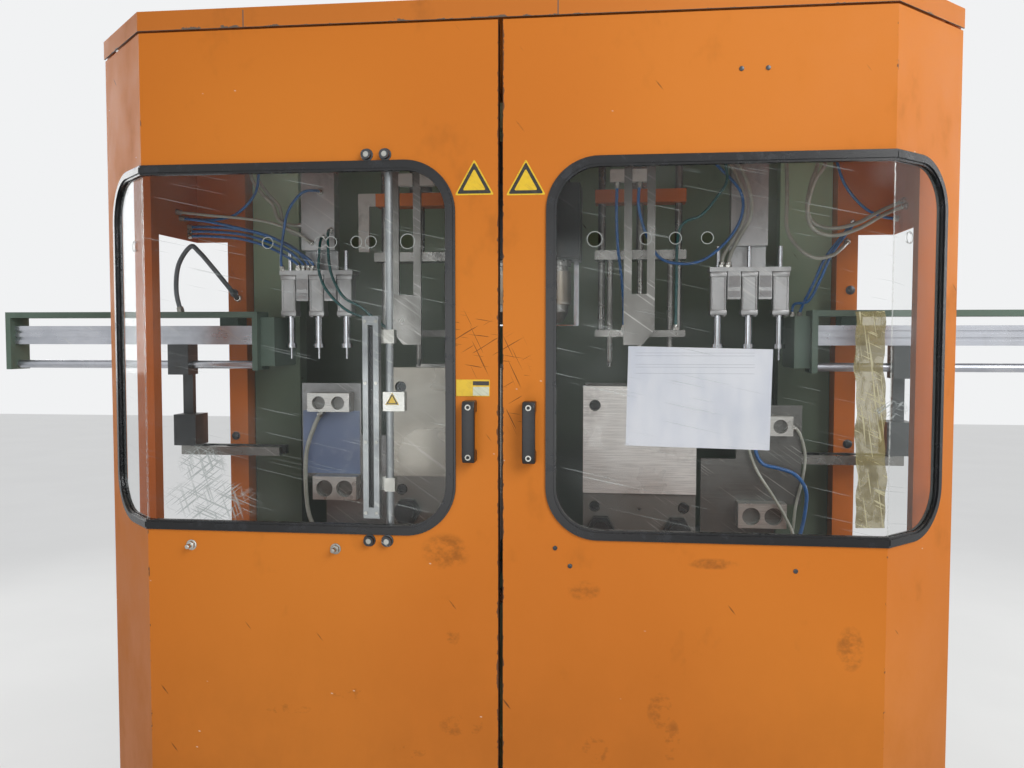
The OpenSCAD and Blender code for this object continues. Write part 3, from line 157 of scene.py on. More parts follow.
class Sheet:
    """The tree of one material while it is being built: masks and patterns in the machine's own metres."""

    def __init__(self, name: str) -> None:
        """Starts an empty material, with its Object coordinates at hand.

        Args:
            name: the material's name.
        """
        self.material = bpy.data.materials.new(name)
        self.material.use_nodes = True
        self.tree = self.material.node_tree
        self.tree.nodes.clear()
        self.coords = add(self.tree, "ShaderNodeTexCoord").outputs["Object"]
        split = add(self.tree, "ShaderNodeSeparateXYZ", {0: self.coords})
        self.x, self.y, self.z = split.outputs

    def math(self, operation: str, a: object, b: object = 0.0, clamp: bool = False) -> bpy.types.NodeSocket:
        """Arithmetic on two values.

        Args:
            operation: the Math node's operation.
            a: the first value or socket.
            b: the second value or socket.
            clamp: whether the result is kept between 0 and 1.

        Returns:
            The result's socket.
        """
        node = add(self.tree, "ShaderNodeMath", {0: a, 1: b}, operation=operation, use_clamp=clamp)
        return node.outputs[0]

    def ramp(self, value: object, low: float, high: float,
             to: tuple[float, float] = (0.0, 1.0)) -> bpy.types.NodeSocket:
        """A smooth step.

        Args:
            value: the socket that runs.
            low: where the step starts.
            high: where it ends.
            to: the results before and after it.

        Returns:
            The step's socket.
        """
        node = add(self.tree, "ShaderNodeMapRange", {"Value": value, "From Min": low, "From Max": high,
                   "To Min": to[0], "To Max": to[1]}, interpolation_type="SMOOTHSTEP")
        return node.outputs["Result"]

    def noise(self, size_mm: float, stretch: tuple[float, float, float] = (1, 1, 1), detail: float = 4.0,
              rough: float = 0.55, warp: float = 0.0, shift: float = 0.0) -> bpy.types.NodeSocket:
        """Cloudy noise.

        Args:
            size_mm: the size of its features.
            stretch: how much longer they are along each axis.
            detail: its octaves.
            rough: how strong the fine ones are.
            warp: its distortion.
            shift: metres by which the pattern is moved, so that two patterns differ.

        Returns:
            The noise, from 0 to 1 about a half.
        """
        scale = [1 / s for s in stretch]
        moved = add(self.tree, "ShaderNodeMapping", {"Vector": self.coords, "Scale": scale,
                    "Location": (shift, shift, shift)})
        node = add(self.tree, "ShaderNodeTexNoise", {"Vector": moved.outputs[0], "Scale": 1 / (size_mm * MM),
                   "Detail": detail, "Roughness": rough, "Distortion": warp})
        return node.outputs["Fac"]

    def turned(self, turn_deg: float, cell_mm: tuple[float, float],
               shift: float = 0.0) -> bpy.types.NodeSocket:
        """The coordinates, turned in the plane of the doors and counted in cells.

        Args:
            turn_deg: the turn of the cells' long side.
            cell_mm: a cell's long and short side.
            shift: metres by which the pattern is moved.

        Returns:
            The coordinates' socket.
        """
        long, short = cell_mm
        moved = add(self.tree, "ShaderNodeMapping", {"Vector": self.coords, "Location": (shift, shift, shift),
                    "Rotation": (0, math.radians(turn_deg), 0), "Scale": (long * MM, long * MM, short * MM)},
                    vector_type="TEXTURE")
        return moved.outputs[0]

    def strokes(self, long_mm: float, wide_mm: float, turn_deg: float, keep: float,
                shift: float = 0.0) -> bpy.types.NodeSocket:
        """Straight scratches that run one way.

        Args:
            long_mm: how long they are.
            wide_mm: how wide they are.
            turn_deg: their turn in the plane of the doors.
            keep: from 0 to 1, how rare they are.
            shift: metres by which the pattern is moved.

        Returns:
            1 on a scratch and 0 off it.
        """
        vector = self.turned(turn_deg, (long_mm * 2, wide_mm * 2), shift)
        node = add(self.tree, "ShaderNodeTexNoise", {"Vector": vector, "Scale": 1.0, "Detail": 0.0})
        return self.ramp(node.outputs["Fac"], keep, keep + 0.03)

    def scuffs(self, long_mm: float, wide_mm: float, turn_deg: float, apart_mm: float,
               shift: float = 0.0) -> bpy.types.NodeSocket:
        """Short soft marks, scattered.

        Args:
            long_mm: how long they are.
            wide_mm: how wide they are.
            turn_deg: their turn in the plane of the doors.
            apart_mm: how far they lie from each other.
            shift: metres by which the pattern is moved.

        Returns:
            1 on a mark and 0 off it.
        """
        cell = (long_mm * 4, wide_mm * 4)
        share = cell[0] * cell[1] / apart_mm ** 2
        vector = self.turned(turn_deg, cell, shift)
        node = add(self.tree, "ShaderNodeTexVoronoi", {"Vector": vector, "Scale": 1.0})
        pick = add(self.tree, "ShaderNodeSeparateColor", {0: node.outputs["Color"]}).outputs[0]
        spot = self.ramp(node.outputs["Distance"], 0.15, 0.05)
        return self.math("MULTIPLY", spot, self.ramp(pick, 1 - share, 1 - share * 0.8))

    def spots(self, places: tuple[tuple[float, float, float, float], ...]) -> bpy.types.NodeSocket:
        """Soft round patches at set places of the doors.

        Args:
            places: each patch's middle across and up, and its half width and half height, in millimetres.

        Returns:
            1 in the middle of a patch and 0 past its rim.
        """
        total = 0.0
        for across, up, wide, high in places:
            scale = (1 / (wide * MM), 0.0, 1 / (high * MM))
            moved = add(self.tree, "ShaderNodeVectorMath",
                        {0: self.coords, 1: scale, 2: (-across / wide, 0.0, -up / high)},
                        operation="MULTIPLY_ADD").outputs["Vector"]
            near = add(self.tree, "ShaderNodeVectorMath", {0: moved, 1: moved},
                       operation="DOT_PRODUCT").outputs["Value"]
            total = self.math("MAXIMUM", total, self.ramp(near, 1.0, 0.25))
        return total

    def blend(self, factor: object, a: object, b: object) -> bpy.types.NodeSocket:
        """Mixes two colours.

        Args:
            factor: how much of the second.
            a: the first colour or socket.
            b: the second.

        Returns:
            The mixed colour's socket.
        """
        node = add(self.tree, "ShaderNodeMix", {0: factor, 6: a, 7: b}, data_type="RGBA")
        return node.outputs[2]

    def upward(self) -> bpy.types.NodeSocket:
        """How much a surface faces up, for dust, and on the hoses also for a painted-light top.

        Returns:
            0 on a steep face, and 1 on a face that looks straight up.
        """
        normal = add(self.tree, "ShaderNodeNewGeometry").outputs["Normal"]
        up = add(self.tree, "ShaderNodeSeparateXYZ", {0: normal}).outputs[2]
        return self.ramp(up, 0.35, 0.95)

    def bump(self, height: object, depth_mm: float) -> bpy.types.NodeSocket:
        """A relief.

        Args:
            height: its pattern, from 0 to 1.
            depth_mm: how deep it is.

        Returns:
            The bent normal's socket.
        """
        depth = depth_mm * MM
        node = add(self.tree, "ShaderNodeBump", {"Height": height, "Distance": depth, "Strength": 1.0})
        return node.outputs["Normal"]

    def finish(self, **inputs: object) -> bpy.types.Material:
        """Closes the material with one shader.

        Args:
            inputs: values or sockets of the shader, with _ for a space in a name.

        Returns:
            The material.
        """
        named = {key.replace("_", " "): value for key, value in inputs.items()}
        shader = add(self.tree, "ShaderNodeBsdfPrincipled", named)
        add(self.tree, "ShaderNodeOutputMaterial", {"Surface": shader.outputs[0]})
        return self.material


@dataclass(frozen=True)
class Enamel:
    """Sprayed and baked enamel on sheet steel: an even satin coat with a faint orange peel, which shows
    oily hand marks, scratches down to the primer and rust where the edges are knocked."""

    name: str
    colour: str
    deep: str
    grime: str = "#5A3A1E"
    grime_amount: float = 0.30
    # How much darker the enamel gets towards the bottom, between two heights.
    low_darkening: float = 0.25
    darken_from_z: float = 1.15
    darken_to_z: float = 0.35
    # On inside faces the inner colour is painted light from above, and the darkening below it is painted
    # shade.
    inner_shade: float = 0.0
    inner: str = ""
    shade_from_z: float = 2.05
    shade_to_z: float = 1.40
    mark: str = "#3A2416"
    marks: float = 0.8
    roughness: float = 0.46
    handled: bool = False
    chipped_edges: bool = False
    header_edge: bool = False
    header_seams: tuple[float, float] = (-561, 121)
    knocked: tuple[tuple[float, float, float, float], ...] = (
        (-58, 1535, 70, 85), (22, 1500, 50, 70), (30, 1395, 22, 60))
    rubbed: tuple[tuple[float, float, float, float], ...] = ()

    def material(self) -> bpy.types.Material:
        """Builds the enamel.

        Returns:
            The material.
        """
        s = Sheet(self.name)
        tone = s.ramp(s.noise(620, detail=0), 0.3, 0.7)
        colour = s.blend(tone, linear(self.colour), linear(self.deep))
        cloud = s.noise(150, (1.0, 1.0, 1.4), detail=4, rough=0.66)
        # Darker towards the bottom.
        low = s.math("MULTIPLY", s.ramp(s.z, self.darken_from_z, self.darken_to_z, (0.0, self.low_darkening)),
                     s.ramp(cloud, 0.3, 0.7, (0.6, 1.0)))
        # Inside the cabinet: the paler inner colour as painted light, and painted shade in the grime colour
        # growing downward.
        if self.inner_shade:
            inside = self._inside(s)
            colour = s.blend(inside, colour, linear(self.inner))
            painted_shade = s.ramp(s.z, self.shade_from_z, self.shade_to_z, (0.0, self.inner_shade))
            low = s.math("MAXIMUM", low, s.math("MULTIPLY", inside, painted_shade))
        fine = s.noise(30, (1.3, 1, 1), detail=3, rough=0.72, shift=5.3)
        dirt = s.ramp(cloud, 0.56, 0.80, (0, self.grime_amount))
        if self.rubbed:
            smudge = s.math("MULTIPLY", s.spots(self.rubbed), s.ramp(fine, 0.36, 0.70, (0.05, 0.62)))
            dirt = s.math("MAXIMUM", dirt, smudge)
        # The grime colour carries real dirt, and inside the cabinet also the painted shade.
        colour = s.blend(s.math("MAXIMUM", low, dirt), colour, linear(self.grime))
        wear = s.math("MULTIPLY", s.scuffs(30, 4, 52, 170, shift=1.3),
                      s.ramp(fine, 0.35, 0.55, (0.2, self.marks)))
        if self.handled:
            wear = s.math("MAXIMUM", wear, self._hand_marks(s))
        colour = s.blend(wear, colour, linear(self.mark))
        colour = s.blend(s.math("MULTIPLY", s.scuffs(6, 3, 10, 190, shift=2.9), 0.8), colour,
                         linear("#E8D9C4"))
        if self.chipped_edges:
            colour = s.blend(self._chips(s), colour, linear("#6E4A34"))
        if self.header_edge:
            colour = s.blend(self._header_chips(s), colour, linear("#6E6258"))
        relief = s.math("ADD", s.math("MULTIPLY", s.noise(5, detail=0), 0.10),
                        s.noise(190, detail=0, shift=4.0))
        rough = s.math("ADD", s.ramp(cloud, 0.3, 0.7, (self.roughness, self.roughness + 0.12)),
                       s.math("MULTIPLY", dirt, 0.25), clamp=True)
        return s.finish(Base_Color=colour, Roughness=rough, Normal=s.bump(relief, 0.8),
                        Specular_IOR_Level=0.22)

    def _inside(self, s: Sheet) -> bpy.types.NodeSocket:
        """The faces inside the cabinet, which take a paler colour as painted light, and painted shade towards
        the bottom.

        Args:
            s: the material's tree.

        Returns:
            1 on a face inside and 0 outside.
        """
        between = s.ramp(s.math("ABSOLUTE", s.x), INNER_HALF_W * MM + 0.004, INNER_HALF_W * MM)
        wall = (DOOR_Y + REAR_WALL_DEPTH) * MM
        before = s.ramp(s.y, wall + 0.004, wall + 0.001)
        above = s.ramp(s.z, 0.55, 0.70)
        return s.math("MULTIPLY", s.math("MULTIPLY", between, before), above)

    def _hand_marks(self, s: Sheet) -> bpy.types.NodeSocket:
        """Scratches crowded above the handles, where rings and tools knock the doors.

        Args:
            s: the material's tree.

        Returns:
            1 on a mark and 0 off it.
        """
        crowd = s.spots(self.knocked)
        hairs = s.math("MAXIMUM", s.strokes(60, 1.2, 64, 0.74), s.strokes(44, 1.2, -30, 0.75, shift=0.7))
        hairs = s.math("MAXIMUM", hairs, s.strokes(30, 1.3, 8, 0.75, shift=2.2))
        return s.math("MULTIPLY", crowd, s.math("MULTIPLY", hairs, 0.75))

    def _chips(self, s: Sheet) -> bpy.types.NodeSocket:
        """Chips along the meeting edges of the two doors, and nicks on their bends.

        Args:
            s: the material's tree.

        Returns:
            1 where the coat is gone.
        """
        off = s.math("ABSOLUTE", s.x)
        edge = s.noise(26, (1, 1, 1.6), detail=3, rough=0.75, shift=1.2)
        torn = s.math("MULTIPLY", s.ramp(edge, 0.48, 0.68), 0.0034)
        seam = s.ramp(s.math("SUBTRACT", off, torn), 0.0058, 0.0048)
        bend = s.math("ABSOLUTE", s.math("SUBTRACT", off, FRONT_HALF_W * MM))
        nicks = s.math("MULTIPLY", s.ramp(bend, 0.0030, 0.0014), s.ramp(edge, 0.58, 0.66))
        return s.math("MAXIMUM", seam, nicks)

    def _header_chips(self, s: Sheet) -> bpy.types.NodeSocket:
        """Chips along the lower edge of the header, and its two seams.

        Args:
            s: the material's tree.

        Returns:
            1 where the coat is gone or a seam shows.
        """
        up = s.math("SUBTRACT", s.z, HEADER_Z * MM)
        torn = s.math("MULTIPLY", s.ramp(s.noise(34, (2.2, 1, 1), detail=5, rough=0.75), 0.52, 0.68), 0.0060)
        chips = s.ramp(s.math("SUBTRACT", up, torn), 0.0012, 0.0)
        seams = 0.0
        for x in self.header_seams:
            near = s.math("ABSOLUTE", s.math("SUBTRACT", s.x, x * MM))
            seams = s.math("MAXIMUM", seams, s.ramp(near, 0.0016, 0.0009))
        front = s.ramp(s.y, DOOR_Y * MM + 0.004, DOOR_Y * MM)
        low = s.ramp(s.z, ROOF_Z * MM - 0.004, ROOF_Z * MM - 0.006)
        return s.math("MAXIMUM", chips, s.math("MULTIPLY", s.math("MULTIPLY", seams, front), low))


@dataclass(frozen=True)
class Machined:
    """Bare machined metal: ground, milled or brushed, with the cutter's marks along one way, oil stains and
    dulled patches, so that it catches the light in soft streaks."""

    name: str
    colour: str
    dull: str
    grain_mm: float = 1.6
    stretch: tuple[float, float, float] = (40, 1, 1)
    roughness: tuple[float, float] = (0.28, 0.48)
    stain: float = 0.35
    metallic: float = 0.9
    dusty: float = 0.15
    relief_mm: float = 0.05
    scored: float = 0.35
    # The pale pad given by bright is a painted highlight.
    bright: str = ""
    highlight_above: float = 0.0
    highlight_before: float = 0.0
    # A dark band along a sunk groove is painted shade.
    groove_shade_at: float = 0.0

    def material(self) -> bpy.types.Material:
        """Builds the metal.

        Returns:
            The material.
        """
        s = Sheet(self.name)
        grain = s.noise(self.grain_mm, self.stretch, detail=1)
        tone = s.ramp(s.noise(170, detail=3, rough=0.6), 0.32, 0.72)
        colour = s.blend(s.math("MULTIPLY", tone, 0.8), linear(self.colour), linear(self.dull))
        colour = s.blend(s.ramp(grain, 0.35, 0.65, (0, 0.22)), colour, linear(self.dull))
        rough = s.ramp(tone, 0.0, 1.0, self.roughness)
        # Painted highlight: a pale pad on the faces above and in front of the given places.
        if self.bright:
            above = s.ramp(s.z, self.highlight_above * MM - 0.0008, self.highlight_above * MM + 0.0008)
            edge = (DOOR_Y + self.highlight_before) * MM
            before = s.ramp(s.y, edge + 0.0012, edge)
            highlight_pad = s.math("MULTIPLY", above, before)
            pale = s.blend(s.ramp(grain, 0.3, 0.7, (0, 0.35)), linear(self.bright), linear(self.colour))
            colour = s.blend(highlight_pad, colour, pale)
            rough = s.math("SUBTRACT", rough, s.math("MULTIPLY", highlight_pad, 0.06))
        # Painted shade: a dark band along the sunk groove.
        if self.groove_shade_at:
            off = s.math("ABSOLUTE", s.math("SUBTRACT", s.y, (DOOR_Y + self.groove_shade_at) * MM))
            colour = s.blend(s.ramp(off, 0.0012, 0.0006, (0, 0.75)), colour, linear("#2E2E2C"))
        stain = s.ramp(s.noise(75, (1, 1, 1.6), detail=4, rough=0.7, shift=3.0), 0.52, 0.74, (0, self.stain))
        colour = s.blend(stain, colour, linear("#3B3328"))
        colour = s.blend(s.math("MULTIPLY", s.upward(), self.dusty), colour, linear("#8A8578"))
        marks = s.math("MULTIPLY", s.strokes(90, 1.6, 35, 0.72, shift=2.0), self.scored)
        colour = s.blend(marks, colour, linear("#D6D6D0"))
        rough = s.math("ADD", rough, s.math("MULTIPLY", stain, 0.3), clamp=True)
        return s.finish(Base_Color=colour, Metallic=self.metallic, Roughness=rough,
                        Normal=s.bump(grain, self.relief_mm))


@dataclass(frozen=True)
class Moulded:
    """Moulded rubber or plastic: an even dark skin with a fine grain, paler where rubbed and dusty on top."""

    name: str
    colour: str
    rubbed: str
    roughness: float = 0.42
    grain_mm: float = 0.9
    dusty: float = 0.3

    def material(self) -> bpy.types.Material:
        """Builds the skin.

        Returns:
            The material.
        """
        s = Sheet(self.name)
        worn = s.ramp(s.noise(38, detail=4, rough=0.65), 0.50, 0.74)
        colour = s.blend(s.math("MULTIPLY", worn, 0.7), linear(self.colour), linear(self.rubbed))
        patchy = s.ramp(s.noise(22, detail=5), 0.35, 0.65, (0.3 * self.dusty, self.dusty))
        dust = s.math("MULTIPLY", s.upward(), patchy)
        colour = s.blend(dust, colour, linear("#8C8678"))
        rough = s.ramp(worn, 0, 1, (self.roughness, self.roughness + 0.12))
        rough = s.math("ADD", rough, s.math("MULTIPLY", dust, 0.3), clamp=True)
        return s.finish(Base_Color=colour, Roughness=rough,
                        Normal=s.bump(s.noise(self.grain_mm, detail=1), 0.05))


@dataclass(frozen=True)
class ClearPane:
    """Clear impact-proof plastic sheet, hot bent: pale where it is cut, with a painted reflection along the
    bend, a pale veil that is partly wiping haze and partly painted reflection, and scratched at hand height."""

    name: str = "polycarbonate_pane"
    # The pale colour at this base alpha is a veil that is partly haze and partly painted reflection.
    base_alpha: float = 0.016
    fold_mm: float = 1.6
    clawed: tuple[tuple[float, float, float, float], ...] = (
        (-650, 1185, 125, 55), (-672, 1265, 62, 52), (812, 1402, 44, 22))

    def material(self) -> bpy.types.Material:
        """Builds the pane.

        Returns:
            The material.
        """
        s = Sheet(self.name)
        # Partly wiping haze and partly painted reflection.
        haze_and_reflection = s.ramp(s.noise(150, (1.4, 1, 1), detail=1, rough=0.65), 0.42, 0.78, (0.0, 0.03))
        thicket = s.math("MAXIMUM", s.strokes(60, 1.5, 22, 0.64, shift=0.4),
                         s.strokes(46, 1.4, -38, 0.64, shift=1.4))
        thicket = s.math("MAXIMUM", thicket, s.strokes(34, 1.5, 72, 0.66, shift=3.4))
        thicket = s.math("MULTIPLY", thicket, s.math("MULTIPLY", s.spots(self.clawed), 0.55))
        single = s.math("MULTIPLY", s.strokes(90, 1.2, 12, 0.79, shift=6.1), 0.16)
        alpha = s.math("ADD", s.math("ADD", haze_and_reflection, self.base_alpha), s.math("MAXIMUM", thicket, single))
        # Painted reflection along the bend, broken by noise.
        off_fold = s.math("ABSOLUTE", s.math("SUBTRACT", s.math("ABSOLUTE", s.x), FRONT_HALF_W * MM))
        broken = s.ramp(s.noise(9, detail=1), 0.40, 0.55, (0.30, 1.0))
        fold_reflection = s.math("MULTIPLY", s.ramp(off_fold, self.fold_mm * MM, self.fold_mm * 0.4 * MM), broken)
        normal = add(s.tree, "ShaderNodeNewGeometry").outputs["True Normal"]
        ahead = s.math("ABSOLUTE", add(s.tree, "ShaderNodeSeparateXYZ", {0: normal}).outputs[1])
        cut = s.ramp(ahead, 0.6, 0.4)
        # The edge mask holds the pale cut edges and the painted reflection along the bend.
        edge = s.math("MAXIMUM", s.math("MULTIPLY", fold_reflection, 0.55), s.math("MULTIPLY", cut, 0.5))
        gloss = add(s.tree, "ShaderNodeFresnel", {"IOR": 1.58}).outputs[0]
        alpha = s.math("ADD", s.math("MAXIMUM", alpha, edge), s.math("MULTIPLY", gloss, 0.12), clamp=True)
        colour = s.blend(edge, linear("#B9C0BE"), linear("#F4F3EC"))
        return s.finish(Base_Color=colour, Roughness=0.07, Metallic=0.35, Alpha=alpha,
                        Normal=s.bump(s.noise(260, detail=1), 1.6))


@dataclass(frozen=True)
class HoseSkin:
    """Extruded polyurethane or nylon hose: smooth, paler along its upper side from dust and painted light,
    with grime on it.
    """

    name: str
    colour: str
    dirty: str
    roughness: float = 0.26

    def material(self) -> bpy.types.Material:
        """Builds the skin.

        Returns:
            The material.
        """
        s = Sheet(self.name)
        tone = s.ramp(s.noise(55, detail=3, rough=0.6), 0.38, 0.74)
        colour = s.blend(s.math("MULTIPLY", tone, 0.75), linear(self.colour), linear(self.dirty))
        # Paler on top: dust, and painted light.
        colour = s.blend(s.math("MULTIPLY", s.upward(), 0.25), colour, linear("#8A8578"))
        rough = s.ramp(tone, 0, 1, (self.roughness, self.roughness + 0.2))
        return s.finish(Base_Color=colour, Roughness=rough, Normal=s.bump(s.noise(6, detail=1), 0.06))


@dataclass(frozen=True)
class Paper:
    """Printer paper behind the pane: white, a little buckled, with faint ruled lines of an empty form."""

    name: str = "office_paper"
    rules_mm: tuple[float, ...] = (9.0, 15.0, 33.0, 39.0, 52.0)
    rules_x: tuple[float, float] = (285, 532)
    rule_end: float = 2.0
    top_z: float = 1527.0

    def material(self) -> bpy.types.Material:
        """Builds the paper.

        Returns:
            The material.
        """
        s = Sheet(self.name)
        tone = s.ramp(s.noise(60, (1, 1, 3), detail=3), 0.35, 0.7)
        colour = s.blend(tone, linear("#E6E8EE"), linear("#D6DAE4"))
        rules = 0.0
        for drop in self.rules_mm:
            near = s.math("ABSOLUTE", s.math("SUBTRACT", s.z, (self.top_z - drop) * MM))
            rules = s.math("MAXIMUM", rules, s.ramp(near, 0.0009, 0.0004))
        start, end = self.rules_x
        begun = s.ramp(s.x, start * MM, (start + self.rule_end) * MM)
        within = s.math("MULTIPLY", begun, s.ramp(s.x, end * MM, (end - self.rule_end) * MM))
        colour = s.blend(s.math("MULTIPLY", s.math("MULTIPLY", rules, within), 0.28), colour,
                         linear("#70747C"))
        return s.finish(Base_Color=colour, Roughness=0.75,
                        Normal=s.bump(s.noise(90, (1, 1, 2), detail=2), 2.0))


@dataclass(frozen=True)
class AgedTape:
    """Old packing tape: a thin amber film, cloudy, wrinkled and torn, with dirt under it."""

    name: str = "aged_packing_tape"

    def material(self) -> bpy.types.Material:
        """Builds the tape.

        Returns:
            The material.
        """
        s = Sheet(self.name)
        tone = s.ramp(s.noise(34, (1, 1, 2.2), detail=5, rough=0.7, warp=0.6), 0.36, 0.70)
        colour = s.blend(tone, linear("#A89A62"), linear("#6F6238"))
        creases = s.math("MAXIMUM", s.strokes(46, 1.5, 82, 0.70, shift=0.7), s.strokes(20, 1.6, 25, 0.72))
        colour = s.blend(s.math("MULTIPLY", creases, 0.7), colour, linear("#D9D2AE"))
        alpha = s.math("ADD", s.ramp(tone, 0, 1, (0.50, 0.78)), s.math("MULTIPLY", creases, 0.3), clamp=True)
        return s.finish(Base_Color=colour, Roughness=s.ramp(tone, 0, 1, (0.18, 0.45)), Alpha=alpha,
                        Normal=s.bump(s.noise(16, (1, 1, 2.5), detail=5, warp=1.0), 1.2))


@dataclass(frozen=True)
class PlateInk:
    """Printed vinyl or anodised plate: one even colour, scuffed and dirty."""

    name: str
    colour: str
    scuffed: str
    roughness: float = 0.35

    def material(self) -> bpy.types.Material:
        """Builds the plate's face.

        Returns:
            The material.
        """
        s = Sheet(self.name)
        tone = s.ramp(s.noise(14, detail=6, rough=0.7), 0.45, 0.75)
        colour = s.blend(s.math("MULTIPLY", tone, 0.45), linear(self.colour), linear(self.scuffed))
        colour = s.blend(s.math("MULTIPLY", s.strokes(22, 0.8, 40, 0.68), 0.5), colour, linear(self.scuffed))
        return s.finish(Base_Color=colour, Roughness=self.roughness,
                        Normal=s.bump(s.noise(3, detail=2), 0.04))


@dataclass(frozen=True)
class Finishes:
    """Every finish of the machine, each built once."""

    made: dict[str, bpy.types.Material] = field(default_factory=dict)
    rubbed: tuple[tuple[float, float, float, float], ...] = (
        (343, 755, 34, 50), (368, 690, 24, 60), (205, 662, 36, 42), (-85, 700, 62, 34),
        (-205, 640, 50, 24), (-105, 900, 20, 26), (733, 905, 34, 56), (-120, 1085, 60, 46),
        (-330, 760, 60, 20), (-480, 720, 70, 16), (180, 1010, 40, 26), (450, 1075, 60, 14),
        (620, 300, 90, 40), (-400, 260, 110, 46), (60, 320, 60, 60))

    def build(self) -> None:
        """Builds the finishes and keeps them by short name."""
        across = (40, 1, 1)
        upright = (1, 1, 40)
        through = (1, 40, 1)
        plan = {
            "door": Enamel("stove_enamel_orange_door", "#DE822B", "#D67A26", handled=True, chipped_edges=True,
                           grime="#8A5322", grime_amount=0.30, low_darkening=0.42, rubbed=self.rubbed),
            "frame": Enamel("stove_enamel_orange_frame", "#DC7A2C", "#C86A28", grime="#4A2E1C",
                            grime_amount=0.4, roughness=0.42),
            "header": Enamel("stove_enamel_orange_header", "#D87F31", "#CC762C", header_edge=True),
            # Green: its inner colour is a paler painted-light copy for the inside faces, darkened downward by
            # painted shade.
            "green": Enamel("stove_enamel_reseda_green", "#9DBA99", "#88A688", grime="#2C332A",
                            grime_amount=0.20, low_darkening=0.35, inner="#BED8B6", inner_shade=0.80,
                            roughness=0.42),
            "beam": Enamel("stove_enamel_reseda_beam", "#6C8073", "#5C6F64", grime="#2C332A",
                           grime_amount=0.45),
            "cabinet": Enamel("stove_enamel_reseda_cabinet", "#6F8F77", "#668570", grime="#3A4034",
                              grime_amount=0.30, low_darkening=0.30),
            "motor": Enamel("motor_enamel_blue_green", "#5F7F86", "#54737A", grime="#2E3434",
                            grime_amount=0.35),
            "dark": Machined("blackened_steel", "#4A4C4E", "#2E3032", roughness=(0.38, 0.58), metallic=0.6,
                             stain=0.45, scored=0.08),
            "ground": Machined("ground_tool_steel", "#8E8D89", "#6E6D69", stretch=across,
                               roughness=(0.26, 0.42)),
            # The two platens are one ground steel: their pale pads are painted highlights, set brighter on
            # the right.
            "platen_left": Machined("ground_platen_steel_left", "#8B8A85", "#716F69", stretch=across,
                                    stain=0.25, bright="#B2AEA2", highlight_above=1138 + LIFT,
                                    highlight_before=401, metallic=0.45),
            "platen_right": Machined("ground_platen_steel_right", "#85847F", "#6B6964", stretch=across,
                                     stain=0.25, bright="#F2F1EC", highlight_above=1138,
                                     highlight_before=491, metallic=0.2),
            "mould": Machined("milled_mould_alloy", "#A9ABAC", "#85878A", stretch=through, stain=0.25),
            "alloy": Machined("anodised_alloy", "#B9BABA", "#9A9B9A", stretch=upright, roughness=(0.34, 0.46),
                              metallic=0.7, stain=0.3),
            "galvanised": Machined("galvanised_tube", "#A5A9AA", "#84888A", stretch=upright, stain=0.2,
                                   roughness=(0.3, 0.5), metallic=0.8),
            "chrome": Machined("hard_chromed_rod", "#C9CCD0", "#A9ACB0", stretch=upright,
                               roughness=(0.10, 0.22), metallic=1.0, stain=0.12),
            "axis": Machined("anodised_axis_profile", "#C6C8CE", "#A2A6AE", stretch=across,
                             roughness=(0.25, 0.36), stain=0.15),
            "stainless": Machined("brushed_stainless_sheet", "#BFC1C2", "#A4A6A7", stretch=upright,
                                  roughness=(0.22, 0.34), stain=0.10),
            "heater": Machined("heat_tinted_sheet", "#9A948A", "#7A6A55", stretch=through, stain=0.4),
            "barrel": Machined("scaled_barrel_steel", "#77706A", "#4E4640", stretch=through, stain=0.55,
                               roughness=(0.4, 0.6), metallic=0.7),
            "zinc": Machined("zinc_plated_screw", "#C2C2BC", "#96958E", stretch=(1, 1, 1),
                             roughness=(0.25, 0.4)),
            "burnished": Machined("burnished_screw", "#55575A", "#333538", stretch=(1, 1, 1), metallic=0.8,
                                  roughness=(0.3, 0.45)),
            # The two manifolds are one alloy: the lighter left and darker right copies are painted light and
            # painted shade, and their pale fronts painted highlights.
            "manifold_left": Machined("milled_manifold_alloy_left", "#8E8F90", "#6C6D6C", stretch=across,
                                      metallic=0.6, bright="#D6D6D0", highlight_above=900, highlight_before=494,
                                      groove_shade_at=465),
            "manifold_right": Machined("milled_manifold_alloy_right", "#6A6A67", "#4E4E4B", stretch=across,
                                       metallic=0.6, bright="#D6D6D0", highlight_above=900, highlight_before=494,
                                       groove_shade_at=465),
            "port": Moulded("nylon_port_block", "#C9C8C2", "#9A9A94", roughness=0.45, dusty=0.5),
            "cut_pane": Moulded("cut_polycarbonate_edge", "#A6ABA8", "#868B88", roughness=0.2),
            "film": Moulded("blue_masking_film", "#7E90B4", "#94A3BE", roughness=0.38, dusty=0.2),
            "rubber": Moulded("moulded_rubber_profile", "#101114", "#24272D", roughness=0.24, dusty=0.25),
            "plastic": Moulded("moulded_black_plastic", "#191A1D", "#2E3034", roughness=0.33, dusty=0.15),
            "pane": ClearPane(),
            "paper": Paper(),
            "tape": AgedTape(),
            "yellow": PlateInk("yellow_sign_vinyl", "#F2C928", "#C9A22A"),
            "black_ink": PlateInk("black_sign_ink", "#1B1A18", "#4A443A"),
            "pale_ink": PlateInk("pale_sign_vinyl", "#DCDFC4", "#B4B89A"),
            "name_plate": PlateInk("anodised_name_plate", "#B9BBBC", "#8E9092"),
            Hose.BLUE.value: HoseSkin("polyurethane_hose_blue", "#2F74BE", "#2A5080"),
            Hose.TEAL.value: HoseSkin("nylon_hose_teal", "#2F7070", "#2C5656"),
            Hose.CLEAR.value: HoseSkin("clear_hose_yellowed", "#BFC4B8", "#8F9184", roughness=0.16),
            Hose.GREY.value: HoseSkin("sheathed_hose_grey", "#6C7278", "#4E5358", roughness=0.45),
            Hose.BLACK.value: HoseSkin("sheathed_cable_black", "#232529", "#3A3A38", roughness=0.5),
        }
        for name, finish in plan.items():
            self.made[name] = finish.material()

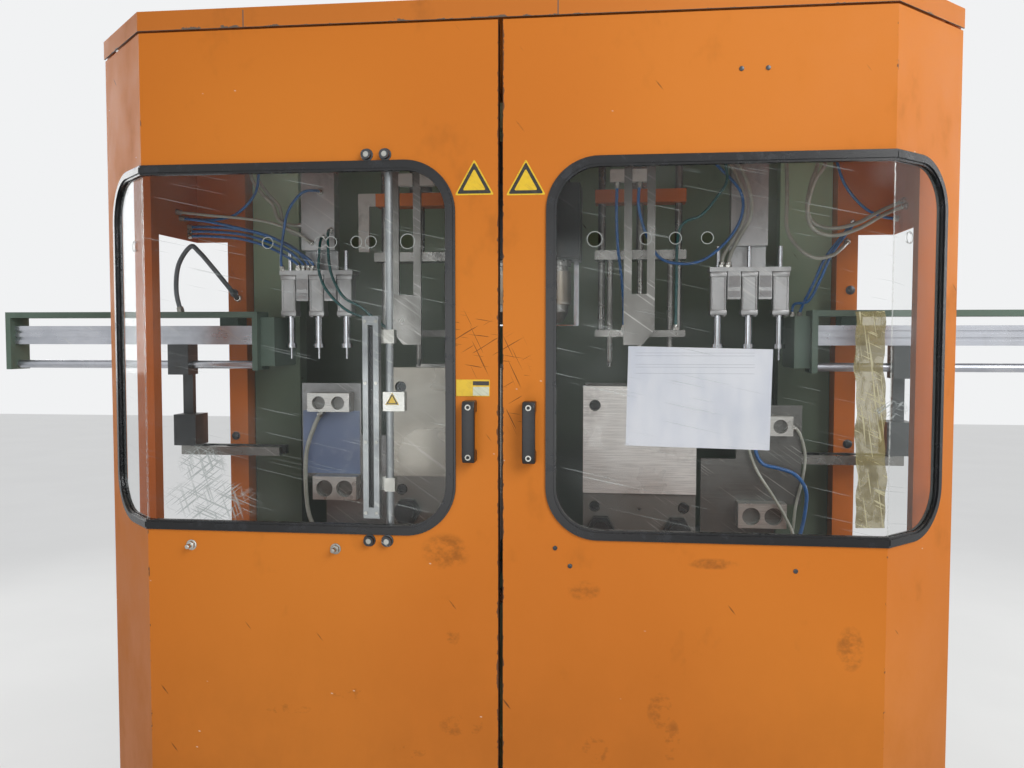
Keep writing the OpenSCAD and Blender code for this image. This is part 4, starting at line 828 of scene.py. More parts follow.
    def dress(self, node: str, name: str) -> None:
        """Puts a finish on every slot of a CAD node.

        Args:
            node: the node's name.
            name: the finish's short name.
        """
        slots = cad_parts[node].material_slots
        for slot in slots:
            slot.material = self.made[name]


def block(bm: bmesh.types.BMesh, low: Vector, high: Vector, edge_mm: float = 1.0, segments: int = 2) -> None:
    """Adds a box with rounded edges.

    Args:
        bm: the mesh that it goes into.
        low: its lowest corner.
        high: its highest corner.
        edge_mm: the radius of its edges.
        segments: faces round each edge.
    """
    size = high - low
    place = Matrix.Translation((low + high) / 2) @ Matrix.Diagonal((size.x, size.y, size.z, 1))
    made = bmesh.ops.create_cube(bm, size=1, matrix=place)["verts"]
    edges = list(dict.fromkeys(e for v in made for e in v.link_edges))
    bmesh.ops.bevel(bm, geom=edges, offset=edge_mm * MM, affect="EDGES", segments=segments, profile=0.5,
                    material=-1)


def aim(direction: Vector) -> Matrix:
    """A turn that takes +Z to a direction."""
    return direction.to_track_quat("Z", "Y").to_matrix().to_4x4()


def disc(bm: bmesh.types.BMesh, centre: Vector, direction: Vector, radius_mm: float, height_mm: float,
         sides: int = 24, edge_mm: float = 0.6) -> None:
    """Adds a short round or many-sided bar that stands on a place.

    Args:
        bm: the mesh that it goes into.
        centre: the middle of its foot.
        direction: the way that it stands.
        radius_mm: its radius.
        height_mm: its height.
        sides: its number of sides.
        edge_mm: the radius of its top rim.
    """
    place = Matrix.Translation(centre + direction * height_mm * MM / 2) @ aim(direction)
    made = bmesh.ops.create_cone(bm, cap_ends=True, segments=sides, radius1=radius_mm * MM,
                                 radius2=radius_mm * MM, depth=height_mm * MM, matrix=place)["verts"]
    if edge_mm > 0:
        rim = [v for v in made if (v.co - centre).dot(direction) > height_mm * MM * 0.5]
        near = dict.fromkeys(e for v in rim for e in v.link_edges)
        edges = [e for e in near if all(v in rim for v in e.verts)]
        bmesh.ops.bevel(bm, geom=edges, offset=edge_mm * MM, affect="EDGES", segments=2, profile=0.5,
                        material=-1)


def cap_screw(bm: bmesh.types.BMesh, centre: Vector, direction: Vector, radius_mm: float,
              height_mm: float) -> None:
    """Adds a socket-head screw: a round head with a hexagon socket sunk into it.

    Args:
        bm: the mesh that it goes into.
        centre: the middle of the head's foot.
        direction: the way that the head points.
        radius_mm: the head's radius.
        height_mm: the head's height.
    """
    place = Matrix.Translation(centre + direction * height_mm * MM / 2) @ aim(direction)
    made = bmesh.ops.create_cone(bm, cap_ends=True, segments=24, radius1=radius_mm * MM,
                                 radius2=radius_mm * MM, depth=height_mm * MM, matrix=place)["verts"]
    faces = dict.fromkeys(f for v in made for f in v.link_faces)
    top = max(faces, key=lambda f: (f.calc_center_median() - centre).dot(direction))
    bmesh.ops.inset_region(bm, faces=[top], thickness=radius_mm * 0.12 * MM, depth=0.0)
    bmesh.ops.inset_region(bm, faces=[top], thickness=radius_mm * 0.30 * MM, depth=0.0)
    down = bmesh.ops.extrude_discrete_faces(bm, faces=[top])["faces"]
    bmesh.ops.translate(bm, verts=list(down[0].verts), vec=-direction * height_mm * 0.55 * MM)


def ring(bm: bmesh.types.BMesh, centre: Vector, direction: Vector, inner_mm: float, outer_mm: float,
         height_mm: float, sides: int = 28) -> None:
    """Adds a ring or a sleeve, turned from its section.

    Args:
        bm: the mesh that it goes into.
        centre: the middle of its foot.
        direction: its axis, away from the foot.
        inner_mm: its inner radius.
        outer_mm: its outer radius.
        height_mm: its height.
        sides: faces round it.
    """
    place = Matrix.Translation(centre) @ aim(direction)
    section = [(inner_mm, 0), (outer_mm, 0), (outer_mm, height_mm), (inner_mm, height_mm)]
    verts = [bm.verts.new(place @ (Vector((r, 0, h)) * MM)) for r, h in section]
    edges = [bm.edges.new((verts[i - 1], verts[i])) for i in range(4)]
    bmesh.ops.spin(bm, geom=verts + edges, cent=centre, axis=direction, angle=math.tau, steps=sides,
                   use_merge=True)


def prism(bm: bmesh.types.BMesh, corners: list[Vector], thickness: Vector) -> None:
    """Adds a flat outline, given a thickness.

    Args:
        bm: the mesh that it goes into.
        corners: the outline's corners in order.
        thickness: the way from the outline to the other face.
    """
    face = bm.faces.new([bm.verts.new(corner) for corner in corners])
    grown = bmesh.ops.extrude_face_region(bm, geom=[face])["geom"]
    moved = [v for v in grown if isinstance(v, bmesh.types.BMVert)]
    bmesh.ops.translate(bm, verts=moved, vec=thickness)


def hex_bolt(bm: bmesh.types.BMesh, centre: Vector, direction: Vector, across_mm: float) -> None:
    """Adds a hexagon bolt head on its washer.

    Args:
        bm: the mesh that it goes into.
        centre: the middle of the washer's foot.
        direction: the way that the head points.
        across_mm: the head's width across its flats.
    """
    disc(bm, centre, direction, across_mm * 0.72, across_mm * 0.12, sides=20, edge_mm=0.3)
    disc(bm, centre + direction * across_mm * 0.12 * MM, direction, across_mm * 0.577, across_mm * 0.42,
         sides=6, edge_mm=across_mm * 0.05)


@dataclass
class SubAssembly:
    """Pieces that are made together, in the machine's finishes."""

    finishes: Finishes

    def place(self, name: str, bm: bmesh.types.BMesh, finish: str, body: str, slot: str,
              smooth_deg: float = 40.0) -> bpy.types.Object:
        """Turns a finished bmesh into a piece that rides on a body.

        Args:
            name: the piece's name.
            bm: its mesh, in metres and in place; it is freed here.
            finish: the short name of its finish.
            body: the body that it moves with.
            slot: the record's material slot; not used.
            smooth_deg: edges sharper than this stay sharp.

        Returns:
            The object.
        """
        mesh = bpy.data.meshes.new(name)
        bmesh.ops.remove_doubles(bm, verts=bm.verts, dist=1e-6)
        bmesh.ops.recalc_face_normals(bm, faces=bm.faces)
        for face in bm.faces:
            face.smooth = True
        for edge in bm.edges:
            edge.smooth = len(edge.link_faces) == 2 and edge.calc_face_angle(0.0) < math.radians(smooth_deg)
        bm.to_mesh(mesh)
        bm.free()
        mesh.materials.append(self.finishes.made[finish])
        obj = bpy.data.objects.new(name, mesh)
        bpy.context.scene.collection.objects.link(obj)
        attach(obj, body)
        LOG.info("piece %s: %d faces on %s", name, len(mesh.polygons), body)
        return obj


@dataclass(frozen=True)
class Route:
    """A hose as the places that it passes, with its kind and radius."""

    name: str
    kind: Hose
    radius_mm: float
    places: tuple[tuple[float, float, float], ...]
    mirrored: bool = False
    body: str = "frame"
    offset: tuple[float, float] = (0.0, 0.0)

    def points(self, steps: int = 8) -> list[Vector]:
        """The smooth centre line.

        Args:
            steps: how many places between each two of the route's.

        Returns:
            Places in metres, from the first of the route to its last.
        """
        sign = -1 if self.mirrored else 1
        p = [at(sign * (x + self.offset[0]), d, z + self.offset[1]) for x, d, z in self.places]
        out = []
        for i in range(len(p) - 1):
            a, b, c, d = p[max(i - 1, 0)], p[i], p[i + 1], p[min(i + 2, len(p) - 1)]
            for k in range(steps):
                t = k / steps
                out.append(0.5 * (2 * b + (c - a) * t + (2 * a - 5 * b + 4 * c - d) * t * t
                                  + (3 * b - a - 3 * c + d) * t ** 3))
        return out + [p[-1]]


@dataclass
class HoseSet(SubAssembly):
    """The air and water hoses, with a fitting at each end."""

    fitting_mm: float = 15.0
    sides: int = 12

    def routes(self) -> list[Route]:
        """The hoses' routes, place by place as the part's source has them.

        Returns:
            Every hose: those of the frame first, then those of the carriages.
        """
        blue, clear = Hose.BLUE, Hose.CLEAR
        out = [
            Route("hose_valve_inner", blue, 4, ((243, 408, 1940), (242, 407, 1860), (246, 425, 1780),
                  (256, 480, 1700), (262, 540, 1630), (262, 552, 1570))),
            Route("hose_valve_arch", blue, 4, ((299, 408, 1940), (297, 402, 1880), (314, 420, 1819),
                  (349, 450, 1757), (405, 480, 1741), (468, 500, 1753), (530, 505, 1805), (563, 505, 1867),
                  (559, 512, 1930), (502, 520, 1997), (450, 520, 2050), (380, 505, 2110),
                  (352, 500, BEAM_Z0))),
            Route("hose_guide_arch", Hose.TEAL, 4, ((400, 552, 1570), (400, 540, 1680), (404, 490, 1830),
                  (458, 470, 1864), (498, 480, 1912), (523, 488, 1960), (500, 490, 2030), (400, 470, 2100),
                  (330, 465, BEAM_Z0))),
            Route("hose_panel_right", blue, 4, ((815, UPRIGHT_DEPTH, 2110), (818, 650, 2085),
                  (823, 605, 2009), (844, 600, 1950), (890, 600, 1895), (940, 606, 1870),
                  (982, 610, 1865))),
            Route("hose_bracket_1", blue, 4, ((862, 650, 1850), (848, 618, 1832), (797, 612, 1764),
                  (770, 618, 1700), (745, 636, 1640), (735, 645, 1606))),
            Route("hose_bracket_2", blue, 4, ((876, 650, 1862), (864, 614, 1846), (813, 606, 1775),
                  (786, 610, 1710), (757, 620, 1650), (722, 640, 1640), (718, 645, 1606))),
        ]
        for k in range(3):
            out.append(Route(f"hose_bundle_{k + 1}", blue, 4, ((982, 590, 1840 + 13 * k),
                       (912, 580, 1838 + 13 * k), (815 - 2 * k, 570, 1828 + 13 * k),
                       (738 - 4 * k, 562, 1806 + 13 * k), (680 - 10 * k, 560, 1778 + 12 * k),
                       (648 - 14 * k, 562, 1754 + 3 * k), (645 - 15 * k, 564, PLATE_Z)), mirrored=True))
        out += [
            Route("hose_panel_left_1", blue, 4, ((760, UPRIGHT_DEPTH, 2110), (761, 650, 2095),
                  (765, 590, 2030), (771, 568, 1954), (825, 562, 1897), (895, 562, 1882),
                  (982, 565, 1887)), mirrored=True),
            Route("hose_panel_left_2", blue, 4, ((982, 540, 1885), (895, 546, 1874), (795, 546, 1852),
                  (722, 543, 1832), (660, 546, 1800), (606, 556, 1762), (602, 562, PLATE_Z)), mirrored=True),
            Route("hose_panel_left_3", clear, 4, ((982, 520, 1900), (895, 532, 1891), (794, 546, 1882),
                  (718, 546, 1869), (646, 545, 1842), (613, 558, 1818), (610, 578, 1815)), mirrored=True),
            Route("hose_spindle_top", blue, 4, ((690, 562, PLATE_Z), (690, 548, 1768), (672, 522, 1840),
                  (655, 518, 1900), (620, 528, 1948), (588, 552, 1957), (583, 578, 1955)), mirrored=True),
            Route("hose_across_1", Hose.TEAL, 4, ((576, 578, 1830), (576, 552, 1822), (574, 530, 1780),
                  (570, 518, 1727), (545, 510, 1676), (491, 500, 1626), (430, 500, 1600), (404, 518, 1572),
                  (400, 545, 1561)), mirrored=True),
            Route("hose_across_2", Hose.TEAL, 4, ((556, 578, 1850), (554, 550, 1843), (548, 528, 1800),
                  (536, 515, 1727), (498, 500, 1662), (447, 495, 1633), (410, 500, 1600), (380, 522, 1574),
                  (376, 545, 1561)), mirrored=True),
        ]
        for k in range(2):
            out.append(Route(f"hose_thick_{k + 1}", clear, 5, ((520 + 17 * k, 566 - 3 * k, PLATE_Z),
                       (524 + 17 * k, 558 - 3 * k, 1768), (547 + 16 * k, 545 - 4 * k, 1810 + 5 * k),
                       (573 + 16 * k, 530 - 4 * k, 1863 + 5 * k), (569 + 16 * k, 530 - 4 * k, 1925 + 6 * k),
                       (545 + 16 * k, 545 - 4 * k, 1990 + 10 * k),
                       (515 + 12 * k, 600 - 10 * k, 2060 + 16 * k),
                       (500 + 20 * k, 690, 2110), (500 + 20 * k, 725, BEAM_Z0))))
            out.append(Route(f"hose_loop_{k + 1}", clear, 5, ((775 + 20 * k, UPRIGHT_DEPTH, 2100),
                       (772 + 18 * k, 650, 2085), (763 + 17 * k, 570 - 14 * k, 2003),
                       (743 + 5 * k, 542 - 16 * k, 1951), (730 - 2 * k, 522 - 16 * k, 1887 - 14 * k),
                       (747 - 2 * k, 520 - 16 * k, 1845 - 18 * k), (794, 520 - 16 * k, 1831 - 20 * k),
                       (859, 535 - 18 * k, 1846 - 16 * k), (924, 550 - 20 * k, 1880 - 14 * k),
                       (982, 556 - 22 * k, 1905 - 16 * k))))
            out.append(Route(f"hose_block_{k + 1}", clear, 5, ((790 + 16 * k, UPRIGHT_DEPTH, 2100),
                       (788 + 16 * k, 655 - 10 * k, 2080), (785 + 14 * k, 622 - 13 * k, 2012),
                       (750 + 14 * k, 611 - 13 * k, 1960), (715 + 14 * k, 605 - 13 * k, 1922 + 4 * k),
                       (702 + 10 * k, 601 - 13 * k, 1873 + 12 * k), (672 + 8 * k, 597 - 7 * k, 1845 + 23 * k),
                       (641, 596, 1840 + 26 * k)), mirrored=True))
        out += [
            Route("hose_post_right", clear, 5, ((700, UPRIGHT_DEPTH, 2080), (697, 650, 2055),
                  (690, 585, 1930), (687, 560, 1837), (712, 542, 1786), (753, 540, 1758),
                  (804, 560, 1766), (845, 600, 1797), (862, 650, 1810))),
            Route("hose_arch_left", Hose.GREY, 7, ((985, 545, TAKEOUT_Z1), (998, 545, 1681), (990, 545, 1754),
                  (954, 545, 1805), (928, 545, 1790), (890, 548, 1746), (856, 570, 1695), (855, 620, 1668),
                  (860, 650, 1664)), mirrored=True),
            Route("hose_water_left", clear, 6, ((351, 470, 1300), (372, 470, 1263), (396, 470, 1191),
                  (400, 470, 1098), (392, 470, 1019), (372, 470, DECK_Z1)), mirrored=True,
                  body="carriage_left", offset=(STATION_X - LEFT_IN, LIFT)),
            Route("hose_air_right", blue, 5, ((297, 470, 1300), (297, 468, 1256), (315, 462, 1226),
                  (354, 458, 1216), (395, 458, 1200), (422, 460, 1159), (421, 468, 1095), (408, 470, 1035),
                  (390, 470, 1003), (364, 470, DECK_Z1)), body="carriage_right", offset=(STATION_X, 0)),
            Route("hose_water_right", clear, 4, ((278, 466, 1300), (280, 458, 1256), (300, 444, 1205),
                  (335, 438, 1150), (367, 434, 1095), (390, 438, 1040), (378, 446, 1000),
                  (346, 450, DECK_Z1)), body="carriage_right", offset=(STATION_X, 0)),
            Route("hose_return_right", clear, 4, ((386, 482, 1320), (407, 483, 1306), (423, 486, 1250),
                  (419, 487, 1192), (402, 487, 1115), (396, 486, 1060), (386, 486, 1010),
                  (360, 486, DECK_Z1)), body="carriage_right", offset=(STATION_X, 0)),
        ]
        return out

    def tube(self, route: Route) -> bpy.types.Object:
        """Sweeps one hose along its route.

        Args:
            route: the hose.

        Returns:
            The piece, with its place in its mesh.
        """
        points = route.points()
        curve = bpy.data.curves.new(route.name, "CURVE")
        curve.dimensions = "3D"
        curve.bevel_depth = route.radius_mm * MM
        curve.bevel_resolution = self.sides // 4 - 1
        curve.use_fill_caps = True
        spline = curve.splines.new("POLY")
        spline.points.add(len(points) - 1)
        for k, p in enumerate(points):
            spline.points[k].co = (p.x, p.y, p.z, 1)
        swept = bpy.data.objects.new(route.name + "_curve", curve)
        bpy.context.scene.collection.objects.link(swept)
        bpy.context.view_layer.update()
        mesh = bpy.data.meshes.new_from_object(swept.evaluated_get(bpy.context.evaluated_depsgraph_get()))
        bpy.data.objects.remove(swept)
        bm = bmesh.new()
        bm.from_mesh(mesh)
        bpy.data.meshes.remove(mesh)
        slot = "clear_hose" if route.kind in (Hose.CLEAR, Hose.GREY) else "blue_hose"
        obj = self.place(route.name, bm, route.kind.value, route.body, slot, smooth_deg=60)
        return obj

    def build(self) -> None:
        """Makes every hose, and the fittings at their ends."""
        nodes = {"frame": ("blue_hoses", "clear_hoses"), "carriage_left": ("carriage_hoses_left",),
                 "carriage_right": ("carriage_hoses_right",)}
        fittings = {body: bmesh.new() for body in nodes}
        for route in self.routes():
            obj = self.tube(route)
            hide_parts(*nodes[route.body])
            points = route.points()
            for end, inner in ((points[0], points[1]), (points[-1], points[-2])):
                way = (inner - end).normalized()
                bm = fittings[route.body]
                half = self.fitting_mm * 0.5
                disc(bm, end, way, route.radius_mm + 4, half * 1.1, sides=6, edge_mm=0.5)
                disc(bm, end + way * half * MM, way, route.radius_mm + 2.6, half, sides=16, edge_mm=0.8)
        for body, bm in fittings.items():
            self.place(f"hose_fittings_{body}", bm, "zinc", body, "aluminium")


@dataclass
class Doors(SubAssembly):
    """What is screwed, stuck or taped on the two doors."""

    handle_x: float = 64.0
    handle_z: float = 1350.0
    handle_len: float = 131.0
    handle_w: float = 27.0
    handle_out: float = 42.0
    handle_slope: tuple[float, float] = (6, 12)
    handle_foot: float = 25.0
    handle_hollow: float = 26.0
    handle_flare: float = 8.0
    sign_side: float = 74.0
    sign_height: float = 66.0
    profile_x: float = -289.0
    tube_x: float = -249.0
    rail_screw_z: tuple[float, float] = (1106, 1941)
    stud_x: tuple[float, float] = (-366, -699)
    stud_z: float = 1085.0
    panel_screws: tuple[tuple[float, float], ...] = (
        (496, 2098), (549, 2098), (118, 1100), (150, 1062), (619, 1065))
    hole_z: float = 1756.0
    small_holes: dict[str, tuple[float, ...]] = field(
        default_factory=lambda: {"left": (282, 314, 370, 394, 513), "right": (305, 366, 431)})
    big_holes: dict[str, float] = field(default_factory=lambda: {"left": 201, "right": 199})
    bent_hole: float = 60.0
    small_hole_rim: tuple[float, float] = (11.5, 13.0)
    big_hole_rim: tuple[float, float] = (15, 16.6)
    rim_out: float = 0.7
    # The dark strip in the slot is painted shade.
    slot_shade_half_w: float = 5.6
    slot_shade_z: tuple[float, float] = (1150, 1592)
    profile_screw_x: float = 12.0
    profile_screw_z: tuple[float, ...] = (1163, 1320, 1450, 1585)
    sheet_place: tuple[float, float, float] = (417, 5.4, 1424)
    sheet_half: tuple[float, float] = (148.5, 105)
    sheet_turn: float = 1.2
    tape_place: tuple[float, float, float] = (764, 4.6, 1381)
    tape_half: tuple[float, float] = (29, 223)
    tape_turn: float = -1.5
    plates_drawn: tuple[tuple[str, tuple[float, float, float], tuple[float, float], str], ...] = (
        ("warning_plate", (-59.5, -0.6, 1442), (73, 36), "yellow"),
        ("warning_plate_foot", (-42, -1.0, 1435), (35, 19), "pale_ink"),
        ("warning_plate_strip", (-42, -1.0, 1452), (35, 9), "black_ink"))

    def handle(self, side: Side) -> None:
        """Makes one bow handle with its two screws.

        Args:
            side: the door that it is on.
        """
        x = side.value * self.handle_x
        half_w = self.handle_w / 2
        low = self.handle_z - self.handle_len / 2
        high = self.handle_z + self.handle_len / 2
        bm = bmesh.new()
        out, (nose, slope) = self.handle_out, self.handle_slope
        foot, hollow, flare = self.handle_foot, self.handle_hollow, self.handle_flare
        outline = [(0, low), (-out + nose, low), (-out, low + slope),
                   (-out, high - slope), (-out + nose, high), (0, high),
                   (0, high - foot), (-hollow + flare, high - foot), (-hollow, high - foot - flare),
                   (-hollow, low + foot + flare), (-hollow + flare, low + foot), (0, low + foot)]
        prism(bm, [at(x - half_w, d, z) for d, z in outline], Vector((self.handle_w * MM, 0, 0)))
        bmesh.ops.recalc_face_normals(bm, faces=bm.faces)
        bmesh.ops.bevel(bm, geom=bm.edges[:], offset=2.6 * MM, affect="EDGES", segments=3, profile=0.5,
                        material=-1)
        obj = self.place(f"bow_handle_{side.label}", bm, "plastic", f"door_{side.label}", "black_plastic")
        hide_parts(f"handle_{side.label}")
        screws = bmesh.new()
        for z in (low + 12.5, high - 12.5):
            cap_screw(screws, at(x, -self.handle_out + 3.5, z), FRONT, 6.2, 5.0)
        self.place(f"handle_screws_{side.label}", screws, "zinc", f"door_{side.label}", "aluminium")

    def sign(self, name: str, place: tuple[float, float, float], scale: float, side: Side) -> None:
        """Makes one three-cornered plate: a black border on a yellow field, with nothing on it.

        Args:
            name: the pieces' name.
            place: its middle across, the depth of its back, and its lower edge.
            scale: its size against the large signs.
            side: the door that it is on.
        """
        x, depth, z = place
        for part, grow, out, ink in (("rim", 3.0, 0.5, "yellow"), ("border", 0.0, 0.9, "black_ink"),
                                     ("field", -7.0, 1.3, "yellow")):
            half = (self.sign_side / 2 + grow * 1.73) * scale
            bm = bmesh.new()
            corners = [(-half, -grow * scale), (half, -grow * scale),
                       (0, (self.sign_height + 2 * grow) * scale)]
            back = Vector((0, (out + 0.2) * MM, 0))
            prism(bm, [at(x + cx, depth - out, z + cz) for cx, cz in corners], back)
            upright = [e for e in bm.edges if abs(e.verts[0].co.y - e.verts[1].co.y) > 0.4 * MM]
            bmesh.ops.bevel(bm, geom=upright, offset=4 * scale * MM, affect="EDGES", segments=4, profile=0.5,
                            material=-1)
            self.place(f"{name}_{part}", bm, ink, f"door_{side.label}", "orange_enamel")

    def plates(self) -> None:
        """Makes the small bare plates of the left door."""
        for name, place, size, ink in self.plates_drawn:
            spot = at(*place)
            bm = bmesh.new()
            half = Vector((size[0] / 2, 0.4, size[1] / 2)) * MM
            block(bm, spot - half, spot + half, edge_mm=0.3, segments=1)
            self.place(name, bm, ink, "door_left", "orange_enamel")

    def fasteners(self) -> None:
        """Makes the washers and screw heads on both doors."""
        dark = bmesh.new()
        for x in (self.tube_x, self.profile_x):
            for z in self.rail_screw_z:
                disc(dark, at(x, 0, z), FRONT, 13.5, 2.2, edge_mm=0.6)
                cap_screw(dark, at(x, -2, z), FRONT, 10.6, 11.5)
        self.place("rail_cap_screws", dark, "burnished", "door_left", "dark_metal")
        studs = bmesh.new()
        for x in self.stud_x:
            disc(studs, at(x, 0, self.stud_z), FRONT, 12, 1.8, edge_mm=0.4)
            disc(studs, at(x, -1.8, self.stud_z), FRONT, 9.5, 7.5, sides=6, edge_mm=0.6)
            disc(studs, at(x, -9, self.stud_z), FRONT, 5.0, 15, sides=16, edge_mm=0.8)
        self.place("window_studs", studs, "zinc", "door_left", "aluminium")
        small = bmesh.new()
        for x, z in self.panel_screws:
            disc(small, at(x, 0, z), FRONT, 5.0, 1.8, sides=14, edge_mm=0.6)
        self.place("panel_screws_right", small, "burnished", "door_right", "dark_metal")

    def hole_rims(self, side: Side) -> None:
        """Makes the pale rims of the holes drilled in one pane.

        Args:
            side: the door that it is on.
        """
        sign, z = side.value, self.hole_z
        small, big = self.small_hole_rim, self.big_hole_rim
        rims = bmesh.new()
        for x in self.small_holes[side.label]:
            ring(rims, at(sign * x, 0, z), FRONT, *small, self.rim_out)
        ring(rims, at(sign * self.big_holes[side.label], 0, z), FRONT, *big, self.rim_out)
        bent = FRONT_HALF_W + self.bent_hole * math.cos(math.radians(45))
        out = Vector((sign, -1, 0)).normalized()
        ring(rims, at(sign * bent, bent - FRONT_HALF_W, z), out, *small, self.rim_out)
        self.place(f"pane_hole_rims_{side.label}", rims, "cut_pane", f"door_{side.label}", "clear_pane")

    def profile(self) -> None:
        """Makes the dark strip that stands in for the painted shade inside the slot, and the screws of the
        slotted profile behind the left pane.
        """
        slot = bmesh.new()
        half, (low, high) = self.slot_shade_half_w, self.slot_shade_z
        # Painted shade: a dark strip inside the slot.
        block(slot, at(self.profile_x - half, 24, low), at(self.profile_x + half, 33.5, high), edge_mm=0.5)
        self.place("profile_slot_shade_strip", slot, "plastic", "door_left", "black_plastic")
        screws = bmesh.new()
        for z in self.profile_screw_z:
            for s in (-1, 1):
                cap_screw(screws, at(self.profile_x + s * self.profile_screw_x, 16, z), FRONT, 3.6, 3.0)
        self.place("profile_screws", screws, "zinc", "door_left", "aluminium")

    def papers(self) -> None:
        """Makes the sheet and the tape on the inner face of the right pane."""
        bm = bmesh.new()
        middle = at(*self.sheet_place)
        wide, high = self.sheet_half
        upright = Matrix.Rotation(math.radians(90), 4, "X")
        turn = Matrix.Rotation(math.radians(self.sheet_turn), 4, "Y")
        place = Matrix.Translation(middle) @ turn @ upright @ Matrix.Diagonal((wide * MM, high * MM, 1, 1))
        bmesh.ops.create_grid(bm, x_segments=24, y_segments=16, size=1, matrix=place)
        for v in bm.verts:
            bow = math.sin((v.co.x - middle.x) * 21) * 0.7 + math.cos((v.co.z - middle.z) * 27) * 0.6
            v.co.y += (1.0 + bow) * MM
        bmesh.ops.solidify(bm, geom=bm.faces[:], thickness=0.15 * MM)
        self.place("notice_sheet", bm, "paper", "door_right", "clear_pane")
        tape = bmesh.new()
        wide, high = self.tape_half
        turn = Matrix.Rotation(math.radians(self.tape_turn), 4, "Y")
        size = Matrix.Diagonal((wide * MM, high * MM, 1, 1))
        place = Matrix.Translation(at(*self.tape_place)) @ turn @ upright @ size
        bmesh.ops.create_grid(tape, x_segments=6, y_segments=40, size=1, matrix=place)
        for v in tape.verts:
            v.co.x += math.sin(v.co.z * 96) * 1.6 * MM + math.sin(v.co.z * 41) * 2.2 * MM
            v.co.y += (0.3 + 0.3 * math.sin(v.co.z * 160 + v.co.x * 90)) * MM
        bmesh.ops.solidify(tape, geom=tape.faces[:], thickness=0.2 * MM)
        self.place("pane_tape", tape, "tape", "door_right", "clear_pane")

    def build(self) -> None:
        """Makes everything on the doors."""
        for side in Side:
            self.handle(side)
        self.sign("sign_left", (-56, 0, 1855), 1.0, Side.LEFT)
        self.sign("sign_right", (54, 0, 1853), 1.0, Side.RIGHT)
        self.sign("bracket_sign", (-240, 13, 1404), 0.36, Side.LEFT)
        self.plates()
        self.fasteners()
        for side in Side:
            self.hole_rims(side)
        self.profile()
        self.papers()


@dataclass
class Stations(SubAssembly):
    """The small parts of the mould, blow and spindle stations."""

    screw_half_pitch: float = 117.0
    screw_z: tuple[float, float] = (1371, 1101)
    film_x: tuple[float, float] = (-414, -254)
    film_z: tuple[float, float] = (1127, 1300)
    cap_half_w: float = 22.0
    cap_high: float = 14.0
    nut_x: float = 15.0
    rod_x: float = 17.0
    plate_half_w: float = 15.0
    plate_rows: tuple[tuple[float, float], ...] = ((72, 30), (46, 16))
    post_bolt_x: float = 872.0
    post_bolt_depth: float = 650.0
    post_bolt_z: tuple[float, float] = (1260, 1679)

    def counterbores(self, side: Side) -> None:
        """Makes the screws that sit in the front platen's counterbores.

        Args:
            side: the station.
        """
        shift = LEFT_IN if side is Side.LEFT else 0.0
        lift = LIFT if side is Side.LEFT else 0.0
        opened = LEFT_OPEN if side is Side.LEFT else 0.0
        bm = bmesh.new()
        for s in (-1, 1):
            for z in self.screw_z:
                x = side.value * (STATION_X - shift + s * self.screw_half_pitch)
                spot = at(x, PLATEN_DEPTH - opened + 21.5, z + lift)
                cap_screw(bm, spot, FRONT, 12.5, 13)
        body = f"clamp_front_{side.label}"
        self.place(f"platen_screws_{side.label}", bm, "burnished", body, "dark_metal")

    def film(self) -> None:
        """Makes the blue film that still covers the left manifold's plate."""
        bm = bmesh.new()
        x = -(STATION_X - LEFT_IN)
        low = at(x + self.film_x[0], MANIFOLD_DEPTH - 0.6, self.film_z[0] + LIFT)
        high = at(x + self.film_x[1], MANIFOLD_DEPTH - 0.1, self.film_z[1] + LIFT)
        block(bm, low, high, edge_mm=0.1, segments=1)
        self.place("manifold_film", bm, "film", "carriage_left", "aluminium")

    def cylinder_caps(self) -> None:
        """Makes the end caps, tie rods and nuts of the spindle cylinders."""
        bm = bmesh.new()
        down = Vector((0, 0, -1))
        half, high = self.cap_half_w, self.cap_high
        for side in Side:
            for k in (-1, 0, 1):
                x = side.value * (SPINDLE_X + k * CAVITY_PITCH)
                for z in (CYL_Z0 - 2, CYL_Z1 - high):
                    low = at(x - half, PARTING_DEPTH - half, z)
                    block(bm, low, at(x + half, PARTING_DEPTH + half, z + high), edge_mm=1.6)
                for s in (-1, 1):
                    hex_bolt(bm, at(x + s * self.nut_x, PARTING_DEPTH - 16, CYL_Z0 - 2), down, 7)
                for s in (-1, 1):
                    foot = at(x + s * self.rod_x, PARTING_DEPTH - 19.5, CYL_Z0 + high - 2)
                    disc(bm, foot, -down, 2.4, CYL_Z1 - CYL_Z0 - 2 * high + 2, sides=10, edge_mm=0)
        self.place("spindle_cylinder_caps", bm, "alloy", "frame", "aluminium")

    def name_plates(self) -> None:
        """Makes the bare plates between the spindle cylinders."""
        plates = bmesh.new()
        half = self.plate_half_w
        for side in Side:
            for s in (-0.5, 0.5):
                x = side.value * (SPINDLE_X + s * CAVITY_PITCH)
                for rise, height in self.plate_rows:
                    low = at(x - half, PARTING_DEPTH - 22.8, CYL_Z0 + rise)
                    high = at(x + half, PARTING_DEPTH - 21.8, CYL_Z0 + rise + height)
                    block(plates, low, high, edge_mm=0.3, segments=1)
        self.place("spindle_name_plates", plates, "name_plate", "frame", "aluminium")

    def post_bolts(self) -> None:
        """Makes the bolts on the rear posts."""
        bolts = bmesh.new()
        for side in Side:
            for z in self.post_bolt_z:
                spot = at(side.value * self.post_bolt_x, self.post_bolt_depth, z)
                hex_bolt(bolts, spot, FRONT, 17)
        self.place("post_bolts", bolts, "burnished", "frame", "dark_metal")

    def build(self) -> None:
        """Makes the stations' small parts."""
        for side in Side:
            self.counterbores(side)
        self.film()
        self.cylinder_caps()
        self.name_plates()
        self.post_bolts()


